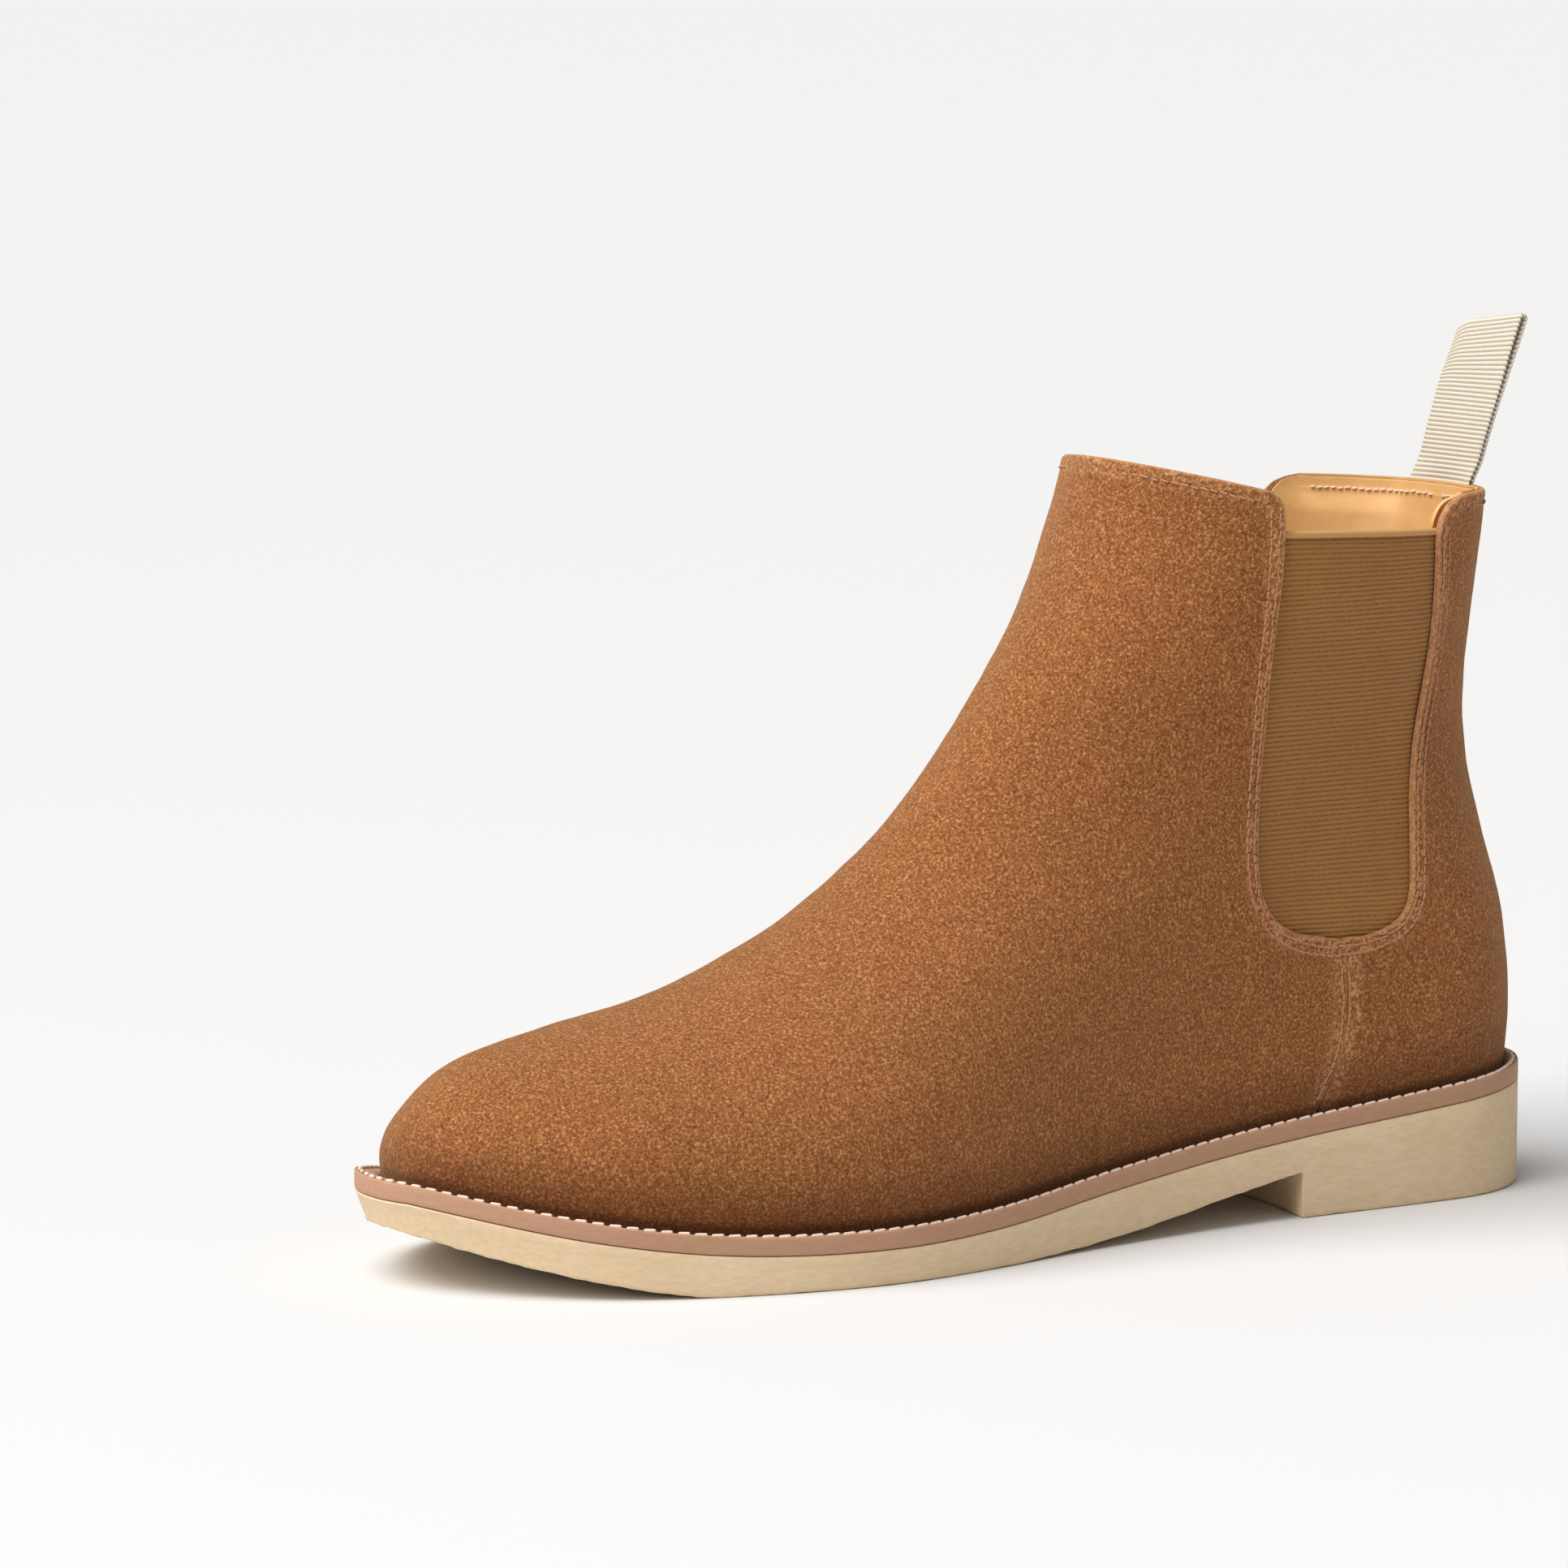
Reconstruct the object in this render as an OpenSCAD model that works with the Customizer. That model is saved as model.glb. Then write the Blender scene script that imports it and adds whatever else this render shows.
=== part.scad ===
// Chelsea boot, left foot, about EU 43.
// Frame: toe towards -Y, outer (lateral) side towards +X, up +Z, origin on the floor
// in the middle of the sole's length and width. Millimetres.
//
// The upper is one smooth surface. It is given in side view: every point (y, z) between
// the ridge in front and the back line behind has a half width. Low down the half width
// is the foot's plan times an arch, higher up it is the shaft's half width times an egg.
// Suede, elastic, stiffeners and lining are layers of this surface.

/* [Upper] */
// Thickness of the suede
suede_t = 1.6; // [1.2:0.1:1.8]
// Thickness of the layer between suede and lining (elastic, toe puff, counter)
middle_t = 1.2; // [0.8:0.1:1.4]
// Thickness of the lining leather
lining_t = 0.9; // [0.6:0.1:1.2]
// Gap left between two layers
layer_gap = 0.3; // [0.2:0.05:0.4]

/* [Bottom] */
// Height of the welt above the outsole
welt_h = 4.4; // [4.4:0.2:6]
// Height of the outsole over the heel breast
breast_h = 11; // [8:1:13]
// Place of the heel breast along the boot
breast_y = 72; // [66:1:80]
// Thickness of the insole board
insole_t = 2; // [1.5:0.1:2.2]
// Thickness of the sock liner
sock_t = 1.4; // [1:0.1:2]
// Thickness of the foam pad under the heel
pad_t = 3; // [2:0.5:4]
// Length of the steel shank
shank_len = 95; // [80:5:110]
// Width of the steel shank
shank_w = 14; // [10:1:18]
// Thickness of the steel shank
shank_t = 1.2; // [1:0.1:1.4]

/* [Pull tab] */
// Width of the webbing
tab_w = 24; // [18:1:26]
// Height of the loop above its fold line
tab_h = 38; // [30:1:40]
// Thickness of the webbing
tab_t = 1.4; // [1:0.1:1.6]
// Clear gap inside the loop
tab_gap = 6.4; // [6:0.2:7]
// Backward lean of the loop at rest, in degrees
tab_lean = 19; // [10:1:20]

/* [Stitching] */
// Diameter of the welt thread
welt_thread = 1.3; // [0.8:0.1:1.6]
// Distance from one welt stitch to the next
welt_pitch = 4; // [4:0.5:6]
// Diameter of the upper's thread
thread = 0.6; // [0.4:0.1:0.8]
// Distance from one upper stitch to the next
pitch = 3.5; // [3:0.5:5]

/* [Hidden] */

// Ends of the upper along Y
toe_y = -147;
heel_y = 149.5;
// Length over which the plan rounds off at the toe and at the heel
toe_round = 42;
heel_round = 34;

// Side view: the ridge from the toe tip over the instep to the front of the collar [y, z]
RIDGE = [
    [-147, 24], [-145, 33.5], [-138, 41.5], [-125, 49], [-105, 54], [-80, 59.5], [-55, 69],
    [-30, 84.5], [-8, 105], [10, 127], [22, 145.5], [31, 164.5], [35, 179]
];
// Side view: the back line [z, y]
BACK = [
    [28, 149.5], [45, 150.2], [62, 148.2], [80, 145], [98, 141], [112, 139],
    [130, 138.8], [150, 139.8], [168, 141.3]
];
// Height of the featherline, where the upper meets the welt [y, z]
FEATHER = [
    [-150, 24.5], [-120, 17.6], [-90, 13.6], [-50, 12.5], [-15, 14], [20, 18], [60, 22.5],
    [100, 26], [150, 30]
];
// Half widths of the foot's plan on the outer and the inner side [y, width]
OUTER_PLAN = [
    [-147, 24], [-125, 34], [-100, 43], [-75, 48.5], [-50, 50], [-25, 46.2], [5, 39.4],
    [40, 34.5], [75, 32.5], [105, 32], [150, 30]
];
INNER_PLAN = [
    [-147, 24], [-125, 34], [-100, 40.5], [-75, 42.5], [-50, 41], [-25, 37], [5, 31.5],
    [40, 29.5], [75, 31], [105, 32], [150, 31]
];
// Half width of the shaft [z, width]
SHAFT = [[60, 34], [90, 33], [110, 33.5], [130, 36], [150, 39], [175, 41]];
// Sideways place of the plan's middle line [y, x]
MIDDLE = [[-150, -8.5], [-110, -6.5], [-70, -3.5], [-30, -2], [0, -1.5], [150, -1.5]];
// Underside of the forefoot and waist [y, z], flat on the floor under the ball
UNDERSIDE = [[-154, 16.5], [-146, 12.8], [-130, 7.4], [-106, 1.8], [-92, 0], [-18, 0], [20, 2.5], [72, 11]];
// How far the welt and sole stand out beyond the featherline [y, width]
LEDGE = [[-150, 6], [-120, 5.5], [-60, 5], [20, 4], [80, 3.5], [150, 3.6]];
// Which place on the ridge each place on the featherline is joined to [y, y on ridge]
FAN = [
    [-147, -147], [-140, -145], [-120, -138.5], [-90, -127], [-40, -108], [0, -96],
    [40, -86], [78.5, -77]
];
// Rear edge of the vamp: side seam, gusset opening, collar corner [y, z, z on ridge]
VAMP_REAR = [
    [78.5, 24.3, 62], [82, 31, 63.5], [85.5, 39, 66.5], [86.5, 48, 70.5], [86.3, 56, 76], [85, 64.2, 84],
    [79, 64.8, 91], [72.5, 66.6, 108], [66.5, 70, 122], [62.3, 76, 130], [60.7, 85, 136],
    [61, 97, 141], [61.6, 112, 147], [62, 128, 154], [63, 146, 161], [63.8, 160, 168],
    [63.8, 165.5, 172], [63, 169, 174.5], [60.5, 171.3, 178]
];
// Front edge of the back quarter with the place on the back line [y, z, z on back line]
QUARTER_FRONT = [
    [78.9, 24.3, 30], [83.9, 35, 36], [86.9, 46, 45], [86.7, 56, 54], [85.6, 64.2, 61],
    [92, 64.9, 65], [98.3, 66.4, 69], [103, 69, 73], [106, 74, 78], [107.5, 84, 86],
    [108.3, 97, 97], [109.6, 109, 109], [111.3, 122, 121], [112, 134, 133],
    [111.2, 144, 143], [110, 153, 152], [109.2, 158.5, 157.5], [109.9, 162.3, 161],
    [112.3, 165.4, 164], [115.5, 167, 166], [119, 167.8, 167.3]
];
// Elastic gusset with its sewn-in margin, from the bottom up [front y, z, rear y, z]
GUSSET = [
    [78, 60.2, 92, 60.4], [67, 62.5, 102, 62.5], [60.5, 67, 108, 66], [57, 74, 112, 73],
    [55.6, 85, 112.5, 85], [56, 104, 114, 104], [57, 128, 117, 128], [58, 146, 116.5, 146],
    [59.5, 162, 114.5, 159.8]
];

// Depths of the layers below the outer surface
middle_d = suede_t + layer_gap;
lining_d = middle_d + middle_t + layer_gap;
wall_t = lining_d + lining_t;
// The upper's lower edge runs down inside the welt and stops just above the outsole
margin_h = welt_h - 0.4;
seat_gap = 0.1;
// Radius of the heel breast in plan
breast_r = 116;
sole_edge_steps = 44;
ridge_steps = 11;
feather_steps = 29;
back_steps = 8;
// Front end of the shank
shank_y = -3;
// The pull tab's fold line
fold_y = 137.4;
fold_z = 171;
tab_x = -1.5;

suede = "peru";
cream = "antiquewhite";

// ---- smooth curves through tables ----
function slope(t, i) =
    let (a = max(i - 1, 0), b = min(i + 1, len(t) - 1)) (t[b][1] - t[a][1]) / (t[b][0] - t[a][0]);
function part_of(t, x, i = 0) = i >= len(t) - 2 || x <= t[i + 1][0] ? i : part_of(t, x, i + 1);
function curve_at(t, x) =
    let (i = part_of(t, x), h = t[i + 1][0] - t[i][0], s = (x - t[i][0]) / h)
    (2 * s ^ 3 - 3 * s ^ 2 + 1) * t[i][1] + (s ^ 3 - 2 * s ^ 2 + s) * h * slope(t, i)
    + (3 * s ^ 2 - 2 * s ^ 3) * t[i + 1][1] + (s ^ 3 - s ^ 2) * h * slope(t, i + 1);
// The same curve as a fine table for lookup()
function fine(t, n = 80) =
    let (a = t[0][0], b = t[len(t) - 1][0])
    [for (i = [0:n]) let (x = a + (b - a) * i / n) [x, curve_at(t, x)]];
// A smooth line through points of any direction
function line_through(p, n) = concat(
    [for (i = [0:len(p) - 2], k = [0:n - 1])
        let (a = p[max(i - 1, 0)], b = p[i], c = p[i + 1], d = p[min(i + 2, len(p) - 1)], s = k / n)
        0.5 * (2 * b + (c - a) * s + (2 * a - 5 * b + 4 * c - d) * s ^ 2
            + (3 * b - a - 3 * c + d) * s ^ 3)],
    [p[len(p) - 1]]);
function smooth(a, b, x) = let (t = min(max((x - a) / (b - a), 0), 1)) t * t * (3 - 2 * t);
function unit(v) = v / norm(v);

ridge_line = concat(line_through(RIDGE, 8), [[60, 270]]);
ridge_by_z = [for (p = ridge_line) [p[1], p[0]]];
back_line = fine(BACK);
feather_line = fine(FEATHER);
outer_plan = fine(OUTER_PLAN);
inner_plan = fine(INNER_PLAN);
shaft_line = fine(SHAFT);
middle_line = fine(MIDDLE);
ledge_line = fine(LEDGE);
underside_line = fine(UNDERSIDE);
fan_line = fine(FAN);

function ridge_z(y) = lookup(y, ridge_line);
function ridge_y(z) = lookup(z, ridge_by_z);
function back_y(z) = lookup(z, back_line);
function feather_z(y) = lookup(y, feather_line);

// ---- the outer surface of the upper ----
// Squared widths are used because they fall evenly to zero at the toe, the ridge and the back
// line, and go below zero outside, so that the surface has a direction there too.
function toward_zero(v, p) = sign(v) * abs(v) ^ p;
// A product that stays below zero when both factors are
function product(a, b) = a < 0 && b < 0 ? -a * b : a * b;
function plan_sq(y, side) =
    let (t = min((y - toe_y) / toe_round, 1), h = min((heel_y - y) / heel_round, 1))
    lookup(y, side > 0 ? outer_plan : inner_plan) ^ 2
    * toward_zero(1 - (1 - t) ^ 2.3, 2 / 2.3) * toward_zero(1 - (1 - h) ^ 2.2, 2 / 2.2);
function arch_sq(y, z) =
    let (low = feather_z(y), t = max((z - low) / max(ridge_z(y) - low, 0.5), 0),
        up = min(max((z - low) / 60, 0), 1),
        swell = 1 + 0.1 * sin(180 * min(t, 1)) * (1 - smooth(0, 100, y))
            + 0.05 * sin(180 * up) * smooth(60, 110, y))
    (1 - t ^ 2.1) * swell ^ 2;
function egg_sq(y, z) =
    let (f = ridge_y(z), q = (y - f) / (back_y(z) - f)) 1 - abs(2 * q - 1) ^ 2.3;
function width_sq(y, z, side) =
    let (b = smooth(62, 118, z), plan_y = y - (back_y(z) - heel_y) * smooth(40, 120, y),
        foot = product(plan_sq(plan_y, side), arch_sq(y, z)),
        shaft = lookup(z, shaft_line) ^ 2 * egg_sq(y, z))
    b == 0 ? foot : (1 - b) ^ 2 * foot + b ^ 2 * shaft
        + 2 * b * (1 - b) * sign(shaft) * sqrt(max(foot * shaft, 0));
function skin(y, z, side) = [lookup(y, middle_line) + side * sqrt(max(width_sq(y, z, side), 0)), y, z];
// The direction square to the surface at a point on it
function skin_normal(p, side) =
    let (e = 0.4, y = p[1], z = p[2], u = p[0] - lookup(y, middle_line),
        bend = (lookup(y + e, middle_line) - lookup(y - e, middle_line)) / (2 * e),
        dy = (width_sq(y + e, z, side) - width_sq(y - e, z, side)) / (2 * e),
        dz = (width_sq(y, z + e, side) - width_sq(y, z - e, side)) / (2 * e))
    unit([2 * u, -2 * u * bend - dy, -dz]);

// ---- grids of points on the surface ----
// Lines across the vamp: each runs from its lower or rear edge up to the ridge [y, z, ridge y, z]
vamp_lines = concat(
    [for (i = [0:feather_steps])
        let (y = toe_y + (78.5 - toe_y) * (1 - cos(90 * i / feather_steps)), r = lookup(y, fan_line))
        [y, feather_z(y) - margin_h, r, ridge_z(r)]],
    [for (p = VAMP_REAR) [p[0], p[1], ridge_y(p[2]), p[2]]]);
// Lines across the back quarter: each runs from its front edge to the back line, the first
// one inside the welt
quarter_lines = [for (i = [-1:len(QUARTER_FRONT) - 1])
    let (p = QUARTER_FRONT[max(i, 0)], drop = i < 0 ? margin_h : 0)
    [p[0], p[1] - drop, back_y(p[2]), p[2] - drop]];

function along(l, v) = [l[0] + (l[2] - l[0]) * v, l[1] + (l[3] - l[1]) * v];
// Each line is laid on both sides, first side, then over the middle, then the other side.
// start is the part of the line that its first step takes.
function both_sides(lines, steps, first, start) = [for (l = lines)
    [for (j = [0:2 * steps])
        let (k = min(j, 2 * steps - j), s = start(l),
            v = k == 0 ? 0 : s + (1 - s) * sin(90 * (k - 1) / (steps - 1)), p = along(l, v))
        skin(p[0], p[1], j <= steps ? first : -first)]];
// On lines that begin inside the welt the first step ends at the featherline
function vamp_grid() = both_sides(vamp_lines, ridge_steps, 1, function (l)
    min(margin_h / (l[3] - l[1]), l[1] < feather_z(l[0]) - 1 ? 0.6 : 0.1));
function quarter_grid() = both_sides(quarter_lines, back_steps, -1, function (l) 0.18);
function gusset_grid(side) =
    let (rows = line_through(GUSSET, 2), n = 10)
    [for (r = rows) [for (j = [0:n])
        let (v = side > 0 ? 1 - j / n : j / n, p = along(r, v)) skin(p[0], p[1], side)]];
function first_lines(grid, n) = [for (i = [0:n]) grid[i]];

// A layer of the surface between two depths. In a pinched grid the first line's two
// sides are one and the same line, at the tip of the toe.
module layer(g, depth, t, pinched = false) {
    n = len(g) - 1;
    m = len(g[0]) - 1;
    half = m / 2;
    first = pinched ? half + 1 : m + 1;
    count = first + n * (m + 1);
    function at(i, j) = i == 0 ? (pinched ? min(j, m - j) : j) : first + (i - 1) * (m + 1) + j;
    normals = [for (line = g) [for (p = line) skin_normal(p, p[0] >= lookup(p[1], middle_line) ? 1 : -1)]];
    function moved(i, j, d) = g[i][j] - d * normals[i][j];
    function sheet_points(d) = concat(
        [for (j = [0:first - 1]) moved(0, j, d)],
        [for (i = [1:n], j = [0:m]) moved(i, j, d)]);
    quads = [for (i = [0:n - 1], j = [0:m - 1]) [at(i, j), at(i + 1, j), at(i + 1, j + 1), at(i, j + 1)]];
    edges = concat(
        [for (i = [0:n - 1]) [at(i, 0), at(i + 1, 0)]],
        [for (j = [0:m - 1]) [at(n, j), at(n, j + 1)]],
        [for (i = [n:-1:1]) [at(i, m), at(i - 1, m)]],
        pinched ? [] : [for (j = [m:-1:1]) [at(0, j), at(0, j - 1)]]);
    faces = concat(
        [for (q = quads, f = [[q[0], q[2], q[1]], [q[0], q[3], q[2]]]) f],
        [for (q = quads, f = [[q[0], q[1], q[2]], [q[0], q[2], q[3]]]) [for (k = f) k + count]],
        [for (e = edges, f = [[e[0], e[1], e[1] + count], [e[0], e[1] + count, e[0] + count]]) f]);
    polyhedron(points = concat(sheet_points(depth), sheet_points(depth + t)), faces = faces, convexity = 8);
}

// ---- flat outlines and long side profiles of the bottom parts ----
function plan_width(y, side) = sqrt(max(plan_sq(y, side), 0));
feather_loop =
    let (n = sole_edge_steps, ys = [for (i = [0:n]) toe_y + (heel_y - toe_y) * (1 - cos(180 * i / n)) / 2])
    concat(
        [for (y = ys) [lookup(y, middle_line) + plan_width(y, 1), y]],
        [for (i = [n - 1:-1:1]) [lookup(ys[i], middle_line) - plan_width(ys[i], -1), ys[i]]]);
// The featherline's plan moved outwards by a fixed distance, and by the ledge if wanted
function outline(out, ledge = 0) =
    let (p = feather_loop, n = len(p))
    [for (i = [0:n - 1])
        let (t = unit(p[(i + 1) % n] - p[(i + n - 1) % n]), d = out + ledge * lookup(p[i][1], ledge_line))
        p[i] + d * [t[1], -t[0]]];
module plan_block(points) {
    linear_extrude(height = 60) polygon(points);
}
module side_block(points) {
    rotate([90, 0, 90]) linear_extrude(height = 140, center = true) polygon(points);
}
// A long band that follows the featherline between two heights above it
module band(y0, y1, low, high, steps = 28) {
    ys = [for (i = [0:steps]) y0 + (y1 - y0) * i / steps];
    side_block(concat(
        [for (y = ys) [y, feather_z(y) + low(y)]],
        [for (i = [steps:-1:0]) [ys[i], feather_z(ys[i]) + high(ys[i])]]));
}
function level(h) = function (y) h;
function pad_at(y) = 0.6 + (pad_t - 0.6) * smooth(76, 92, y);

module outsole() {
    front = toe_y - 8;
    back = heel_y + 6;
    top = [for (i = [0:30]) let (y = back + (front - back) * i / 30) [y, feather_z(y) - welt_h]];
    under = [for (p = fine(UNDERSIDE, 26)) if (p[0] < breast_y - 1) [p[0], max(p[1], 0)]];
    color(cream) difference() {
        intersection() {
            plan_block(outline(0, 1));
            side_block(concat(
                [[front, 16.6]], under, [[breast_y - 1, breast_h], [breast_y, 0], [back, 0]], top));
        }
        // The heel breast is hollowed in plan
        intersection() {
            translate([tab_x, breast_y + 5 - breast_r, -1])
                cylinder(r = breast_r, h = breast_h + 1, $fn = 160);
            translate([-60, breast_y - 4, -1]) cube([120, 12, breast_h + 1]);
        }
    }
}

module welt() {
    color("rosybrown") difference() {
        intersection() {
            plan_block(outline(0, 1));
            band(toe_y - 8, heel_y + 6, level(seat_gap - welt_h), level(0));
        }
        plan_block(outline(layer_gap));
    }
}

module bottom_filler() {
    color("burlywood") difference() {
        intersection() {
            plan_block(outline(-wall_t - layer_gap));
            band(toe_y, heel_y, level(seat_gap - welt_h), level(-insole_t - 0.5));
        }
        intersection() {
            translate([-shank_w / 2 - 0.3, shank_y - 0.5, 0]) cube([shank_w + 0.6, shank_len + 1, 60]);
            band(shank_y - 1, shank_y + shank_len + 1, level(-insole_t - 0.9 - shank_t), level(2), 12);
        }
    }
}

module shank() {
    color("silver") intersection() {
        translate([-shank_w / 2, shank_y, 0]) cube([shank_w, shank_len, 60]);
        band(shank_y - 1, shank_y + shank_len + 1,
            level(-insole_t - 0.7 - shank_t), level(-insole_t - 0.7), 12);
    }
}

module insole_board() {
    color("tan") intersection() {
        plan_block(outline(-wall_t - layer_gap));
        band(toe_y, heel_y, level(-insole_t - 0.3), level(-0.3));
    }
}

module heel_pad() {
    color("khaki") intersection() {
        plan_block(outline(-wall_t - layer_gap - 1));
        band(78, heel_y, level(-0.2), function (y) pad_at(y) - 0.2, 12);
    }
}

module sock_liner() {
    rise = function (y) y < 76 ? 0 : pad_at(y) - 0.1;
    color("burlywood") intersection() {
        plan_block(outline(-wall_t - layer_gap));
        band(toe_y, heel_y, rise, function (y) rise(y) + sock_t, 50);
    }
}

module toe_puff() {
    color("wheat") layer(first_lines(vamp_grid(), 12), middle_d, middle_t, true);
}

// The counter cups the heel up to 28 mm above the featherline
module heel_counter() {
    heights = [-margin_h, 0, 7, 14, 21, 28];
    lines = [for (h = heights) [90 + max(h, 0) / 5, feather_z(90) + h, back_y(30 + h), 30 + h]];
    color("wheat") layer(both_sides(lines, back_steps, -1, function (l) 0.18), middle_d, middle_t);
}

module vamp() {
    color(suede) layer(vamp_grid(), 0, suede_t, true);
}

module back_quarter() {
    color(suede) layer(quarter_grid(), 0, suede_t);
}

module gusset(side) {
    color("saddlebrown") layer(gusset_grid(side), middle_d, middle_t);
}

module vamp_lining() {
    color("navajowhite") layer(vamp_grid(), lining_d, lining_t, true);
}

module quarter_lining() {
    color("navajowhite") layer(quarter_grid(), lining_d, lining_t);
}

// The webbing's two ends lie between suede and lining and are sewn in at the back collar
module pull_tab_ends() {
    n = 4;
    g = [for (z = [152, 158, 164, 168.7]) [for (j = [-n:n])
        let (y = back_y(z) - 2.1 * (j / n) ^ 2) skin(y, z, j <= 0 ? -1 : 1)]];
    color(cream) layer(g, middle_d, middle_t);
}

// The free loop of webbing, folded over at the top, turning about the collar's edge
module pull_tab_loop() {
    r = tab_gap / 2 + tab_t / 2;
    straight = 2 * floor((tab_h - r - 3) / 2);
    function leg(s) = tab_t / 2 + (r - tab_t / 2) * smooth(0, 16, s);
    function loop(out) = concat(
        [for (s = [0:2:straight]) [leg(s) + out, s]],
        [for (a = [0:15:180]) [(r + out) * cos(a), tab_h - r - tab_t / 2 + (r + out) * sin(a)]],
        [for (s = [straight:-2:0]) [-leg(s) - out, s]]);
    translate([tab_x, fold_y, fold_z]) rotate([-tab_lean, 0, 0]) color(cream) {
        rotate([90, 0, 90]) linear_extrude(height = tab_w, center = true) difference() {
            polygon(loop(tab_t / 2));
            polygon([for (p = loop(-tab_t / 2)) if (abs(p[0]) > 0.2 && p[1] > 3) p]);
        }
        rotate([0, 90, 0]) cylinder(r = tab_t, h = tab_w, center = true, $fn = 32);
    }
}

// ---- stitches: short lengths of thread lying on the surface ----
module stitch(p, q, d) {
    v = q - p;
    translate(p) rotate([0, acos(v[2] / norm(v)), atan2(v[1], v[0])])
        cylinder(d = d, h = norm(v), $fn = 16);
}
// Points at equal distances along a line
function run_length(p, i) = i == 0 ? 0 : norm(p[i] - p[i - 1]) + run_length(p, i - 1);
function evenly(p, step) =
    let (far = [for (i = [0:len(p) - 1]) run_length(p, i)], n = floor(far[len(far) - 1] / step))
    [for (k = [0:n]) [for (c = [0:len(p[0]) - 1])
        lookup(k * step, [for (i = [0:len(p) - 1]) [far[i], p[i][c]]])]];
module row(points, step, fill, d) {
    p = evenly(points, step);
    for (i = [0:len(p) - 2]) stitch(p[i] + (p[i + 1] - p[i]) * (1 - fill), p[i + 1], d);
}
// A row on the suede along a side-view line, on one side of the boot
module surface_row(path, side) {
    row([for (q = line_through(path, 3))
        let (p = skin(q[0], q[1], side)) p + (thread / 2 + 0.42) * skin_normal(p, side)],
        pitch, 0.75, thread);
}

module welt_stitching() {
    loop = [for (p = outline(-1.3, 1)) [p[0], p[1], feather_z(p[1]) + welt_thread / 2 + 0.1]];
    color(cream) row(concat(loop, [loop[0]]), welt_pitch, 0.8, welt_thread);
}

// Two rows go round each gusset's opening, at these distances from its edge
module gusset_stitching(side) {
    edge = concat([for (i = [16:-1:6]) VAMP_REAR[i]], [for (i = [5:16]) QUARTER_FRONT[i]]);
    n = len(edge) - 1;
    color("tan") for (away = [1.4, 3.4]) surface_row([for (i = [0:n])
        let (a = edge[max(i - 1, 0)], b = edge[min(i + 1, n)], t = unit([b[0] - a[0], b[1] - a[1]]))
        [edge[i][0] + away * t[1], edge[i][1] - away * t[0]]], side);
}

module collar_stitching() {
    front_row = [[41, 174.2], [49, 171.8], [57, 169.4]];
    back_row = [[117, 163.8], [126, 164.4], [135, 164.2]];
    color("tan") for (side = [-1, 1]) {
        surface_row(front_row, side);
        surface_row(back_row, side);
    }
}

module side_seam_stitching() {
    seam_row = [[80, 31], [83, 39], [84, 48], [83.7, 57]];
    color("tan") for (side = [-1, 1]) surface_row(seam_row, side);
}

outsole();
welt();
welt_stitching();
bottom_filler();
shank();
insole_board();
heel_pad();
sock_liner();
toe_puff();
heel_counter();
vamp();
back_quarter();
gusset(1);  // outer_gusset
gusset(-1);  // inner_gusset
vamp_lining();
quarter_lining();
pull_tab_ends();
pull_tab_loop();
gusset_stitching(1);  // outer_gusset_stitching
gusset_stitching(-1);  // inner_gusset_stitching
collar_stitching();
side_seam_stitching();
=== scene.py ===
import math

import bpy
import numpy as np
from mathutils import Matrix, Vector, kdtree, noise


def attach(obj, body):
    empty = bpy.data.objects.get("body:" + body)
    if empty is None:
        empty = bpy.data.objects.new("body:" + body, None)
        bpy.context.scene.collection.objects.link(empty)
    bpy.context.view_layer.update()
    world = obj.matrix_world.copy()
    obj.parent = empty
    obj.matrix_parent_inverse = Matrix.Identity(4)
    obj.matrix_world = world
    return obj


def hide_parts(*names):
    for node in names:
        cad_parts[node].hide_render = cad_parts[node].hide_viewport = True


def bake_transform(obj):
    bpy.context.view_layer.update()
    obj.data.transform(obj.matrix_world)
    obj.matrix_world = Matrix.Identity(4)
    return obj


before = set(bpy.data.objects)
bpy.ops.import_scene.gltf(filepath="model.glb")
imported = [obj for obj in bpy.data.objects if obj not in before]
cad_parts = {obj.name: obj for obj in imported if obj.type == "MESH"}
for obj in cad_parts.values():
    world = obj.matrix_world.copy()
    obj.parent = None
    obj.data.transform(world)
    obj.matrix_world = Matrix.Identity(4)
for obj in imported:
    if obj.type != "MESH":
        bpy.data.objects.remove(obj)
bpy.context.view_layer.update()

MM = 0.001

# ---------------------------------------------------------------- the upper's surface, millimetres
TOE_Y, HEEL_Y, TOE_ROUND, HEEL_ROUND = -147.0, 149.5, 42.0, 34.0
SUEDE_T, MIDDLE_D, MIDDLE_T, LINING_D, LINING_T = 1.6, 1.9, 1.2, 3.4, 0.9
WELT_H, MARGIN_H = 4.4, 4.0
RIDGE = [(-147, 24), (-145, 33.5), (-138, 41.5), (-125, 49), (-105, 54), (-80, 59.5), (-55, 69),
         (-30, 84.5), (-8, 105), (10, 127), (22, 145.5), (31, 164.5), (35, 179)]
BACK = [(28, 149.5), (45, 150.2), (62, 148.2), (80, 145), (98, 141), (112, 139), (130, 138.8),
        (150, 139.8), (168, 141.3)]
FEATHER = [(-150, 24.5), (-120, 17.6), (-90, 13.6), (-50, 12.5), (-15, 14), (20, 18), (60, 22.5),
           (100, 26), (150, 30)]
OUTER_PLAN = [(-147, 24), (-125, 34), (-100, 43), (-75, 48.5), (-50, 50), (-25, 46.2), (5, 39.4),
              (40, 34.5), (75, 32.5), (105, 32), (150, 30)]
INNER_PLAN = [(-147, 24), (-125, 34), (-100, 40.5), (-75, 42.5), (-50, 41), (-25, 37), (5, 31.5),
              (40, 29.5), (75, 31), (105, 32), (150, 31)]
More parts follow.
